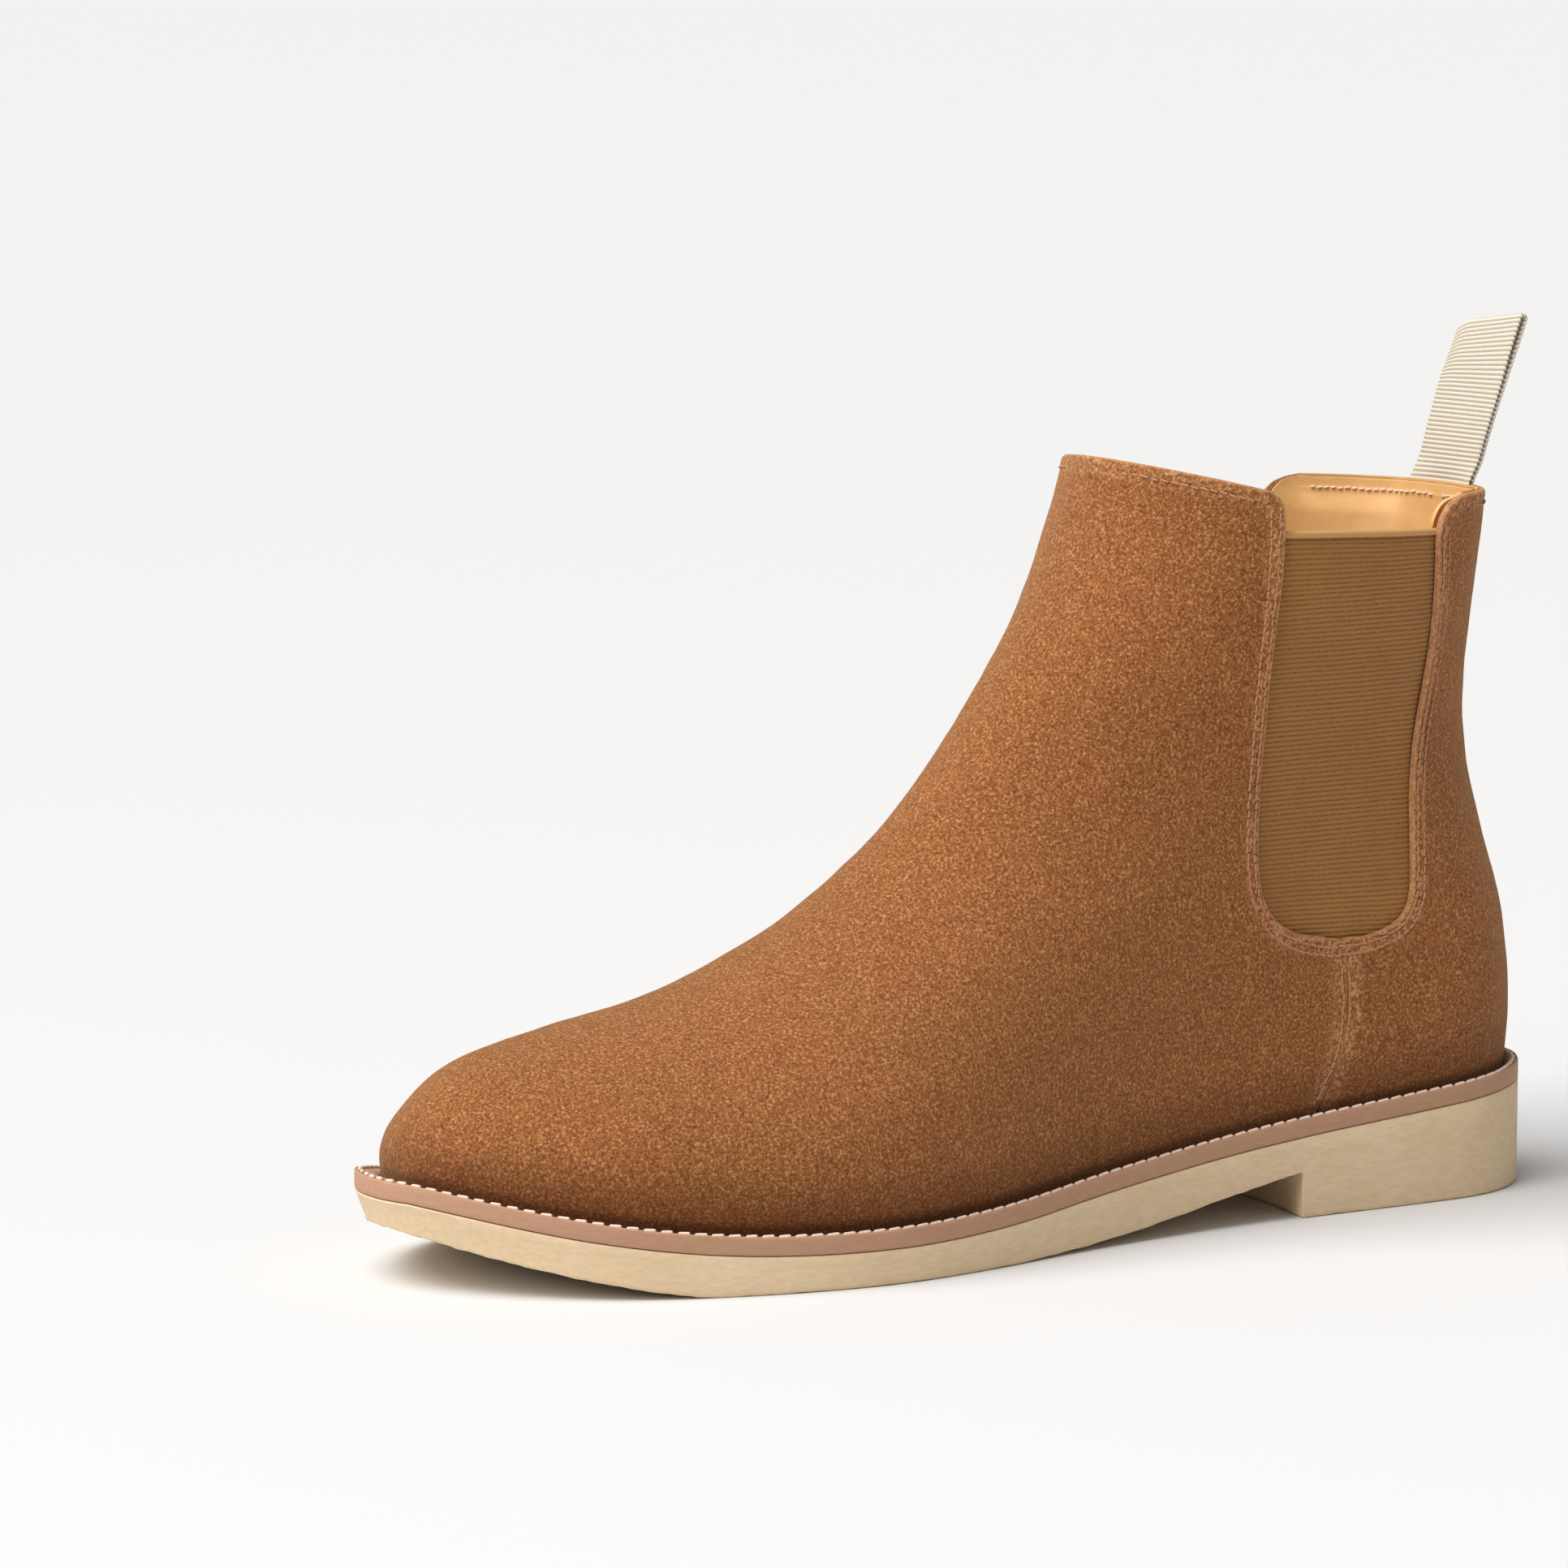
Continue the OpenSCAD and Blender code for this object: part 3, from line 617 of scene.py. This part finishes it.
def gusset(name, node, side):
    rows = through(GUSSET, 40)
    middle_line = (rows[:, :2] + rows[:, 2:]) / 2
    span = np.concatenate([[0], np.cumsum(np.linalg.norm(np.diff(middle_line, axis=0), axis=1))])
    total = span[-1]
    count = int(total / RIB * (8))
    s = np.linspace(0, total, count)
    hem_rows = np.array([0, .1, .2, .35, .5, .7, .9, 1.1, 1.3, 1.45, 1.6, 1.8, 2.1, 2.4])
    s = np.unique(np.concatenate([s, total - hem_rows]))
    g = np.stack([np.interp(s, span, rows[:, k]) for k in range(4)], 1)
    v = np.linspace(0, 1, 49)
    if side < 0:
        g = g[:, [2, 3, 0, 1]]
    y = g[:, None, 0] + (g[:, 2] - g[:, 0])[:, None] * v
    z = g[:, None, 1] + (g[:, 3] - g[:, 1])[:, None] * v
    p = skin(y, z, side)
    n = normals(p, np.full(y.shape, float(side)))
    down = (total - s)[:, None] + 0 * y
    body = smooth(2.2, 3.0, down)
    sway = 0.12 * noise_at(p, 9.0, 3.0)
    rib = np.cos(2 * np.pi * (down + sway) / RIB)
    roll = np.where(down < 1.6, np.sqrt(np.maximum(1 - ((down - 0.8) / 0.8) ** 2, 0)), 0)
    lift = 0.08 * rib * body + 0.55 * roll - 0.2 * bump_at(down, 1.9, 0.35) - 0.12 * bump_at(down, 4.6, 0.4)
    hollow = 0.9 * np.sin(np.pi * v)[None, :] * smooth(0, 25, s)[:, None]
    lift = lift + 0.25 * noise_at(p, 16.0, 7.0) - 0.35 * hollow
    mid = MIDDLE_D + MIDDLE_T / 2
    half = MIDDLE_T / 2 - round_edge(down, 0.5)
    outer = p - n * (mid - half - lift)[..., None]
    inner = p - n * (mid + half - lift * 0.6 * (1 - body) + 0.35 * hollow)[..., None]
    # The colour tone: the rib phase over the body, which paints shade into the troughs; along the top edge a
    # lighter rolled hem with a painted-shade crease below it.
    tone = np.where(body > 0.5, rib, 0.6 + 1.4 * (down < 1.5) - 1.8 * (np.abs(down - 1.95) < 0.35))
    attr = [("rib", np.concatenate([tone.ravel(), tone.ravel()]))]
    obj = make(name, np.concatenate([outer.reshape(-1, 3), inner.reshape(-1, 3)]),
               shell_faces(*y.shape), ELASTIC, "boot", node, attr)
    return obj


gusset("outer_gusset_elastic", "outer_gusset", 1)
gusset("inner_gusset_elastic", "inner_gusset", -1)

# ---------------------------------------------------------------- stitches
def capsules(name, ends, radius, material, node, flat=1.0, sides=8, steps=3):
    """Short lengths of thread with rounded ends, from point to point."""
    prof = [(-1.0, 0.0)]
    for k in range(1, steps + 1):
        t = math.pi / 2 * k / (steps + 1)
        prof.append((-math.cos(t), math.sin(t)))
    prof = prof + [(0.0, 1.0)]
    pts, faces = [], []
    for p, q, up in ends:
        d = q - p
        length = np.linalg.norm(d)
        d = d / length
        side = np.cross(d, up)
        side /= np.linalg.norm(side)
        upv = np.cross(side, d)
        base = len(pts)
        rings = [(p + d * radius * (1 + a), r * radius) for a, r in prof]
        rings += [(q - d * radius * (1 + a), r * radius) for a, r in prof[::-1]]
        for c, r in rings:
            for k in range(sides):
                t = 2 * math.pi * k / sides
                pts.append(c + side * (r * math.cos(t)) + upv * (r * flat * math.sin(t)))
        for i in range(len(rings) - 1):
            for k in range(sides):
                a0, b0 = base + i * sides + k, base + i * sides + (k + 1) % sides
                faces.append([a0, b0, b0 + sides, a0 + sides])
    return make(name, np.array(pts), faces, material, "boot", node, sharp=180)


def evenly(p, step, offset=0.0):
    s = np.concatenate([[0], np.cumsum(np.linalg.norm(np.diff(p, axis=0), axis=1))])
    q = np.arange(offset, s[-1], step)
    return np.stack([np.interp(q, s, p[:, k]) for k in range(p.shape[1])], 1)


def offset_path(path, away):
    t = np.gradient(path, axis=0)
    t /= np.linalg.norm(t, axis=1, keepdims=True)
    return path + away * np.stack([t[:, 1], -t[:, 0]], 1)


def stitch_row(path, side, pitch=2.9, length=1.9, lift=0.02, inside=False, seed=0):
    """End points of stitches along a side-view path on the suede."""
    rng = np.random.default_rng(seed + int(side) + 7)
    line = skin(path[:, 0], path[:, 1], side)
    centres = evenly(np.hstack([line, path]), pitch)
    out = []
    for c, nxt in zip(centres[:-1], centres[1:]):
        d = nxt[:3] - c[:3]
        d /= np.linalg.norm(d)
        n = normals(c[None, :3], np.array([float(side)]))[0]
        level = -(lining_depth(c[:3], 3.4) + LINING_T + 0.22) if inside else lift
        jog = np.cross(d, n) * rng.normal(0, 0.1)
        m = c[:3] + n * (level - 0.03 + rng.normal(0, 0.02)) + jog
        half = length / 2 * (1 + rng.normal(0, 0.06))
        tilt = np.cross(d, n) * 0.12
        out.append((m - d * half - tilt, m + d * half + tilt, n))
    return out


opening = np.vstack([through([v[:2] for v in VAMP_REAR[17:4:-1]], 6),
                     through([v[:2] for v in QUARTER_FRONT[4:18]], 6)[1:]])
for name, node, side in (("outer_gusset_stitches", "outer_gusset_stitching", 1),
                         ("inner_gusset_stitches", "inner_gusset_stitching", -1)):
    ends = []
    for k, away in enumerate((1.4, 3.4)):
        path = offset_path(opening, away)
        path = path[(path[:, 1] < 166)]
        ends += stitch_row(path, side, seed=k)
    capsules(name, ends, 0.26, UPPER_THREAD, node)


def collar_path(lines, away):
    """The collar's stitch row, a little below the top edge, as a side-view path."""
    last = lines[-1]
    v = np.linspace(0.02, 0.995, 60)
    y = last[0] + (last[2] - last[0]) * v
    z = last[1] + (last[3] - last[1]) * v - away
    return np.stack([y, z], 1)


ends, inner_ends = [], []
for lines, start in ((vamp_lines, 4.0), (quarter_lines, 4.0)):
    path = collar_path(lines, 3.0)
    keep = (np.abs(path[:, 0] - lines[-1][0]) > start) & (path[:, 0] < 143)
    for side in (1, -1):
        ends += stitch_row(path[keep], side)
        inner = collar_path(lines, 3.4)
        inner = inner[(np.abs(inner[:, 0] - lines[-1][0]) > 2.5) & (inner[:, 0] < 150)]
        inner_ends += stitch_row(inner, side, pitch=2.3, length=1.3, inside=True)
capsules("collar_lining_stitches", inner_ends, 0.3, WELT_THREAD, "collar_stitching")
capsules("collar_stitches", ends, 0.26, UPPER_THREAD, "collar_stitching")

seam = through([v[:2] for v in VAMP_REAR[:6]], 8)
ends = []
for side in (1, -1):
    ends += stitch_row(offset_path(seam, -1.3)[4:], side)
capsules("side_seam_stitches", ends, 0.24, UPPER_THREAD, "side_seam_stitching")

# ---------------------------------------------------------------- welt, sole and the layers inside
dense = TOE_Y + (HEEL_Y - TOE_Y) * (1 - np.cos(np.linspace(0, np.pi, 1601))) / 2


def side_curve(side):
    return np.stack([look("middle", dense) + side * np.sqrt(np.maximum(plan_sq(dense, side), 0)), dense], 1)


right, left = side_curve(1), side_curve(-1)
loop = np.vstack([right, left[-2:0:-1]])
tang = np.roll(loop, -1, 0) - np.roll(loop, 1, 0)
tang /= np.linalg.norm(tang, axis=1, keepdims=True)
loop_n = np.stack([tang[:, 1], -tang[:, 0]], 1)
left_n = np.vstack([loop_n[:1], loop_n[:1600:-1], loop_n[1600:1601]])[:1601]
SIDE = {1: (right, loop_n[:1601]), -1: (left, left_n)}


def ring_at(count, out, ledge):
    """count points round the featherline, moved outwards."""
    i = np.linspace(0, len(loop), count, endpoint=False)
    k = np.arange(len(loop) + 1)
    close = lambda a: np.stack([np.interp(i, k, np.append(a[:, c], a[0, c])) for c in range(a.shape[1])], 1)
    n = close(loop_n)
    n /= np.linalg.norm(n, axis=1, keepdims=True)
    p = close(loop)
    return p + n * (out + ledge * look("ledge", p[:, 1]))[:, None], n


ring, _ = ring_at(2400, 0, 1)
s = np.concatenate([[0], np.cumsum(np.linalg.norm(np.diff(np.vstack([ring, ring[:1]]), axis=0), axis=1))])
even = np.interp(np.linspace(0, s[-1], 900, endpoint=False), s, np.arange(2401))


RING_POINTS = 2400


def even_ring(out, ledge):
    p, _ = ring_at(RING_POINTS, out, ledge)
    k = np.arange(RING_POINTS + 1)
    return np.stack([np.interp(even, k, np.append(p[:, c], p[0, c])) for c in (0, 1)], 1)


# The welt's section: how far out (fixed, share of the ledge) and the height above the featherline
SECTION = [(.15, 0, -4.3), (.15, 0, -1.2), (.5, 0, -.75), (1.2, 0, -.5), (-2.3, 1, -.3), (-1.9, 1, -.5),
           (-1.3, 1, -.62), (-.8, 1, -.4), (-.5, 1, -.12), (-.28, 1, -.1), (-.1, 1, -.25), (0, 1, -.6),
           (0, 1, -1.8), (0, 1, -3.1), (0, 1, -4.0), (-.12, 1, -4.22), (-.4, 1, -4.3)]
rows = []
for out, ledge, h in SECTION:
    p = even_ring(out, ledge)
    rows.append(np.column_stack([p, look("feather", p[:, 1]) + h]))
pts = np.stack(rows, 0)
wob = 0.12 * noise_at(pts, 9.0, 2.0)
pts[..., 2] += wob * (np.array([h for _, _, h in SECTION]) > -3.5)[:, None]
n_s, n_c = pts.shape[:2]
faces = []
for i in range(n_s):
    for j in range(n_c):
        a0, b0 = i * n_c + j, i * n_c + (j + 1) % n_c
        c0, d0 = ((i + 1) % n_s) * n_c + (j + 1) % n_c, ((i + 1) % n_s) * n_c + j
        faces.append([a0, b0, c0, d0])
make("welt_strip", pts.reshape(-1, 3), faces, WELT, "boot", "welt")

# Welt stitches: slanted beads lying in the groove
line = even_ring(-1.35, 1)
line = np.column_stack([line, look("feather", line[:, 1]) - 0.62])
line = np.vstack([line, line[:1]])
beads = evenly(line, 3.86)
rng = np.random.default_rng(5)
ends = []
for c, nxt in zip(beads, np.roll(beads, -1, 0)):
    d = nxt - c
    if np.linalg.norm(d) < 2.5:
        continue
    d /= np.linalg.norm(d)
    up = np.array([0.0, 0.0, 1.0])
    out = np.cross(d, up)
    m = (c + nxt) / 2 + up * 0.42 + out * rng.normal(0, 0.05)
    half = 1.42 + rng.normal(0, 0.05)
    ends.append((m - d * half - out * 0.26 - up * 0.16, m + d * half + out * 0.26 + up * 0.16, up))
capsules("welt_stitches", ends, 0.5, WELT_THREAD, "welt_stitching", sides=10)


def plan_rows(ys, out, ledge):
    """For each y of the featherline the points on the outer and the inner side, moved outwards."""
    res = []
    for side in (1, -1):
        c, n = SIDE[side]
        p = np.stack([np.interp(ys, dense, c[:, k]) for k in (0, 1)], 1)
        m = np.stack([np.interp(ys, dense, n[:, k]) for k in (0, 1)], 1)
        m /= np.maximum(np.linalg.norm(m, axis=1, keepdims=True), 1e-9)
        res.append(p + m * (out + ledge * look("ledge", p[:, 1]))[:, None])
    return res


ys = TOE_Y + (HEEL_Y - TOE_Y) * (1 - np.cos(np.linspace(0, np.pi, 171))) / 2
breast_rows = [66.5, 68, 69.2, 70.2, 71.0, 71.5, 71.8, 72, 72, 72, 72,
               72.12, 72.35, 72.75, 73.3, 74.2, 75.5, 77]
ys = np.sort(np.concatenate([ys[(ys < 66) | (ys > 78)], breast_rows]))
at_breast = np.where(ys == 72)[0]
under = np.maximum(look("under", ys), 0)
heel = ys > 72
heel[at_breast[1:]] = True
under[heel] = 0
under[at_breast[1]] = 5.0
under[at_breast[2]] = 1.1
under[at_breast[3]] = 0.7
for y, z in ((72.12, .4), (72.35, .18), (72.75, .05)):
    under[np.isclose(ys, y)] = z
under[at_breast[0]] = 10.3
under[np.isclose(ys, 71.8)] = 10.75


def breast_shift(x, y):
    w = 33.5
    return 5 * np.clip(1 - ((x + 1.5) / w) ** 2, 0, 1) * smooth(50, 71, y) * (1 - smooth(74, 100, y))


# Side wall stations: how far in from the outline, and the height as a share with a fixed part
WALL = [(.9, 0, 0.0), (.55, 0, .08), (.25, 0, .3), (.06, 0, .7), (0, 0, 1.2), (0, .25, .9), (0, .5, .6),
        (0, .75, .3), (0, 1, -.45), (.12, 1, -.2), (.35, 1, -.08), (1.2, 1, -.05)]


def sole():
    wall = {1: [], -1: []}
    for inset, share, fixed in WALL:
        taper = 2.4 * (1 - share) * (1 - smooth(TOE_Y, -100, ys))
        for side, p in zip((1, -1), plan_rows(ys, -inset - taper, 1)):
            top = look("feather", p[:, 1]) - WELT_H
            z = under + (top - under) * share + fixed
            z = np.minimum(z, top - 0.05)
            wall[side].append(np.column_stack([p, np.maximum(z, under)]))
    n_w, n_y, n_x = len(WALL), len(ys), 17
    u = np.linspace(0, 1, n_x)
    right, left = wall[1][0], wall[-1][0]
    flat = right[:, None] * (1 - u)[None, :, None] + left[:, None] * u[None, :, None]
    flat[..., 2] = under[:, None]
    top = wall[1][-1][:, None] * (1 - u)[None, :, None] + wall[-1][-1][:, None] * u[None, :, None]
    top[..., 2] = look("feather", top[..., 1]) - WELT_H - 0.05
    ring = np.concatenate([np.stack(wall[1], 1)[:, ::-1], flat[:, 1:-1], np.stack(wall[-1], 1),
                           top[:, ::-1][:, 1:-1]], 1)
    m = ring.shape[1]
    rag = noise_at(ring, 2.2, 4.0) + 0.6 * noise_at(ring, 0.9, 6.0)
    low = np.zeros(m)
    corners = [n_w - 1, n_w - 2, n_w - 3, n_w + n_x - 2, n_w + n_x - 1, n_w + n_x]
    low[corners] = [0.22, 0.22, 0.12, 0.22, 0.22, 0.12]
    ring[..., 2] = np.maximum(ring[..., 2] + rag * low[None, :], 0)
    beneath = (np.arange(m) >= n_w - 3) * (np.arange(m) < 2 * n_w + n_x - 2)
    ring[..., 1] += breast_shift(ring[..., 0], ring[..., 1]) * (ring[..., 2] <= 12.5) * beneath
    faces = []
    for i in range(n_y - 1):
        for j in range(m):
            k = (j + 1) % m
            faces.append([i * m + j, i * m + k, (i + 1) * m + k, (i + 1) * m + j])
    return make("rubber_sole", ring.reshape(-1, 3), faces, RUBBER, "boot", "outsole", sharp=50)


sole()


def slab(name, node, y0, out, low_f, high_f, material, edge=0.35):
    """A flat layer inside the boot, with a rounded rim."""
    t = y0 + (HEEL_Y - y0) * (1 - np.cos(np.linspace(0, np.pi, 90))) / 2
    rim = [(edge, 0.0), (edge * .3, edge * .3), (0, edge), (0, -edge), (edge * .3, -edge * .3), (edge, 0.0)]
    cols = []
    for k, (inset, h) in enumerate(rim):
        pr = plan_rows(t, out - inset, 0)
        for side, p in zip((1, -1), pr):
            low, high = look("feather", p[:, 1]) + low_f(p[:, 1]), look("feather", p[:, 1]) + high_f(p[:, 1])
            z = low + h if k < 3 else high + h
            cols.append((side, np.column_stack([p, z])))
    right = [c for s_, c in cols if s_ == 1]
    left = [c for s_, c in cols if s_ == -1]
    u = np.linspace(0, 1, 15)
    bottom = right[0][:, None] * (1 - u)[None, :, None] + left[0][:, None] * u[None, :, None]
    top = right[-1][:, None] * (1 - u)[None, :, None] + left[-1][:, None] * u[None, :, None]
    top[..., 2] = look("feather", top[..., 1]) + high_f(top[..., 1])
    bottom[..., 2] = look("feather", bottom[..., 1]) + low_f(bottom[..., 1])
    ring = np.concatenate([np.stack(right, 1)[:, ::-1], bottom[:, 1:-1], np.stack(left, 1),
                           top[:, ::-1][:, 1:-1]], 1)
    m = ring.shape[1]
    faces = []
    for i in range(len(t) - 1):
        for j in range(m):
            k = (j + 1) % m
            faces.append([i * m + j, i * m + k, (i + 1) * m + k, (i + 1) * m + j])
    for i in (0, len(t) - 1):
        faces.append([i * m + j for j in (range(m) if i == 0 else range(m - 1, -1, -1))])
    return make(name, ring.reshape(-1, 3), faces, material, "boot", node)


def rise_at(y):
    return np.where(y < 76, 0.02, 0.5 + 2.4 * smooth(76, 92, y))


FOAM = plain_look("heel_foam", (214, 196, 150), 0.9)
slab("sock_liner_leather", "sock_liner", TOE_Y, -4.7, rise_at, lambda y: rise_at(y) + 1.4,
     LINING)
pad = slab("heel_foam_pad", "heel_pad", 78.0, -5.7, lambda y: 0 * y - 0.15, lambda y: rise_at(y) - 0.15,
           FOAM)

# ---------------------------------------------------------------- pull tab
def pull_tab():
    centre = through([(137.2, 152), (137.8, 158), (138.2, 164), (138.5, 168.5), (139.6, 173), (141.8, 180),
                      (144.2, 187), (147.0, 194.5), (149.6, 201), (151.3, 205.2)], 16)
    s = np.concatenate([[0], np.cumsum(np.linalg.norm(np.diff(centre, axis=0), axis=1))])
    t = 1.15
    d = np.gradient(centre, axis=0)
    d /= np.linalg.norm(d, axis=1, keepdims=True)
    perp = np.stack([-d[:, 1], d[:, 0]], 1)
    gap = t / 2 + 0.02 + 0.35 * smooth(34, 52, s)
    front, rear = centre + perp * gap[:, None], centre - perp * gap[:, None]
    tip, r = centre[-1], gap[-1]
    arc = [tip + perp[-1] * r * math.cos(b) + d[-1] * r * math.sin(b)
           for b in np.linspace(0, math.pi, 17)[1:-1]]
    path = np.vstack([front, arc, rear[::-1]])
    far = np.concatenate([[0], np.cumsum(np.linalg.norm(np.diff(path, axis=0), axis=1))])
    q = np.linspace(0, far[-1], int(far[-1] / 1.12 * (8)))
    p2 = np.stack([np.interp(q, far, path[:, k]) for k in (0, 1)], 1)
    d2 = np.gradient(p2, axis=0)
    d2 /= np.linalg.norm(d2, axis=1, keepdims=True)
    n2 = np.stack([-d2[:, 1], d2[:, 0]], 1)
    u = np.concatenate([[-1, -.992, -.97, -.93], np.linspace(-.86, .86, 15), [.93, .97, .992, 1]])
    rib = np.cos(2 * np.pi * q / 1.12)
    half_w = 11.6 + 0.12 * rib
    edge = np.sqrt(np.maximum(1 - np.clip((np.abs(u) - 0.93) / 0.07, 0, 1) ** 2, 0.04))
    thick = (t / 2 - 0.1 + 0.11 * rib)[:, None] * edge[None, :]
    height = p2[:, 1]
    bow = 0.5 * (1 - u**2)[None, :] * smooth(168, 190, height)[:, None]
    twist = 0.75 * u[None, :] * smooth(172, 205, height)[:, None]
    x = -1.5 + half_w[:, None] * u[None, :] + 0 * thick
    back_pull = 1.75 * (np.abs(u)[None, :] ** 2) * (1 - smooth(166, 174, height))[:, None]

    def face(sign):
        y = p2[:, 0][:, None] + sign * n2[:, 0][:, None] * thick + bow + twist - back_pull
        rounded = 1.6 * np.maximum(-u - 0.55, 0) ** 2 * 4.9
        skew = (1.5 * u - rounded)[None, :] * smooth(186, 205, height)[:, None]
        z = height[:, None] + sign * n2[:, 1][:, None] * thick + skew
        return np.stack([x, y, z], -1)
    out, inn = face(-1), face(1)
    tone = np.repeat(rib[:, None], len(u), 1)
    return make("pull_tab_webbing", np.concatenate([out.reshape(-1, 3), inn.reshape(-1, 3)]),
                shell_faces(*out.shape[:2]), WEBBING, None, ["pull_tab_loop", "pull_tab_ends"],
                [("rib", np.concatenate([tone.ravel(), tone.ravel()]))])


tab = pull_tab()
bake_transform(tab)

# ---------------------------------------------------------------- finishes of the hidden layers
for node, look_ in (("bottom_filler", plain_look("cork", (176, 128, 84), 0.9)),
                    ("shank", plain_look("shank_steel", (170, 170, 172), 0.4, 1.0)),
                    ("insole_board", plain_look("insole_board", (190, 150, 110), 0.8)),
                    ("toe_puff", plain_look("stiffener", (222, 208, 180), 0.7)),
                    ("heel_counter", plain_look("counter", (222, 208, 180), 0.7))):
    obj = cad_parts[node]
    obj.data.materials.clear()
    obj.data.materials.append(look_)

# ---------------------------------------------------------------- floor, light and camera
floor_look = Look("floor", 0.9, Specular_IOR_Level=0.1)
floor_look.colour((0.74, 0.74, 0.742, 1))
bpy.ops.mesh.primitive_plane_add(size=80, location=(0, 0, 0))
floor = bpy.context.object
floor.name = "floor"
floor.data.materials.append(floor_look.m)

world = bpy.data.worlds.new("studio")
bpy.context.scene.world = world
world.use_nodes = True
back = world.node_tree.nodes["Background"]
back.inputs["Color"].default_value = (1.0, 1.0, 1.0, 1)
back.inputs["Strength"].default_value = 0.3


def area_light(name, place, target, size, power, tint=(1, 1, 1)):
    data = bpy.data.lights.new(name, "AREA")
    data.shape = "DISK"
    data.size = size
    data.energy = power
    data.color = tint
    obj = bpy.data.objects.new(name, data)
    obj.location = place
    obj.rotation_euler = (Vector(target) - Vector(place)).to_track_quat("-Z", "Y").to_euler()
    bpy.context.scene.collection.objects.link(obj)


sun = bpy.data.objects.new("sun", bpy.data.lights.new("sun", "SUN"))
sun.data.energy = 3.35
sun.data.angle = math.radians(50)
sun.data.color = (1, 0.99, 0.975)
sun.rotation_euler = Vector((0.05, 0.55, -1.0)).to_track_quat("-Z", "Y").to_euler()
bpy.context.scene.collection.objects.link(sun)
area_light("front", (0.5, -1.6, 0.9), (0, 0, 0.06), 1.0, 6, (1, 0.99, 0.97))

AZ, EL, DIST, FOCAL = math.radians(56.7), math.radians(8.04), 1.7, 9039.0
ROLL = math.radians(0.3)
back_v = Vector((math.sin(AZ) * math.cos(EL), -math.cos(AZ) * math.cos(EL), math.sin(EL)))
place = Vector((-0.0015, 0, 0.08)) + back_v * DIST
fw = -back_v
right_v = fw.cross(Vector((0, 0, 1))).normalized()
up_v = right_v.cross(fw)
right_v, up_v = (right_v * math.cos(ROLL) + up_v * math.sin(ROLL),
                 up_v * math.cos(ROLL) - right_v * math.sin(ROLL))
aim = (fw + right_v * (-220.1 / FOCAL) + up_v * (123.2 / FOCAL)).normalized()
cam_right = aim.cross(up_v).normalized()
cam_up = cam_right.cross(aim)
camera = bpy.data.objects.new("camera", bpy.data.cameras.new("camera"))
camera.data.sensor_width = 36
camera.data.lens = 36 * FOCAL / 1932
camera.matrix_world = Matrix((
    (cam_right.x, cam_up.x, -aim.x, place.x), (cam_right.y, cam_up.y, -aim.y, place.y),
    (cam_right.z, cam_up.z, -aim.z, place.z), (0, 0, 0, 1)))
camera.data.dof.use_dof = False
camera.data.clip_start = 0.05
bpy.context.scene.collection.objects.link(camera)
bpy.context.scene.camera = camera
bpy.context.scene.view_settings.view_transform = "Standard"
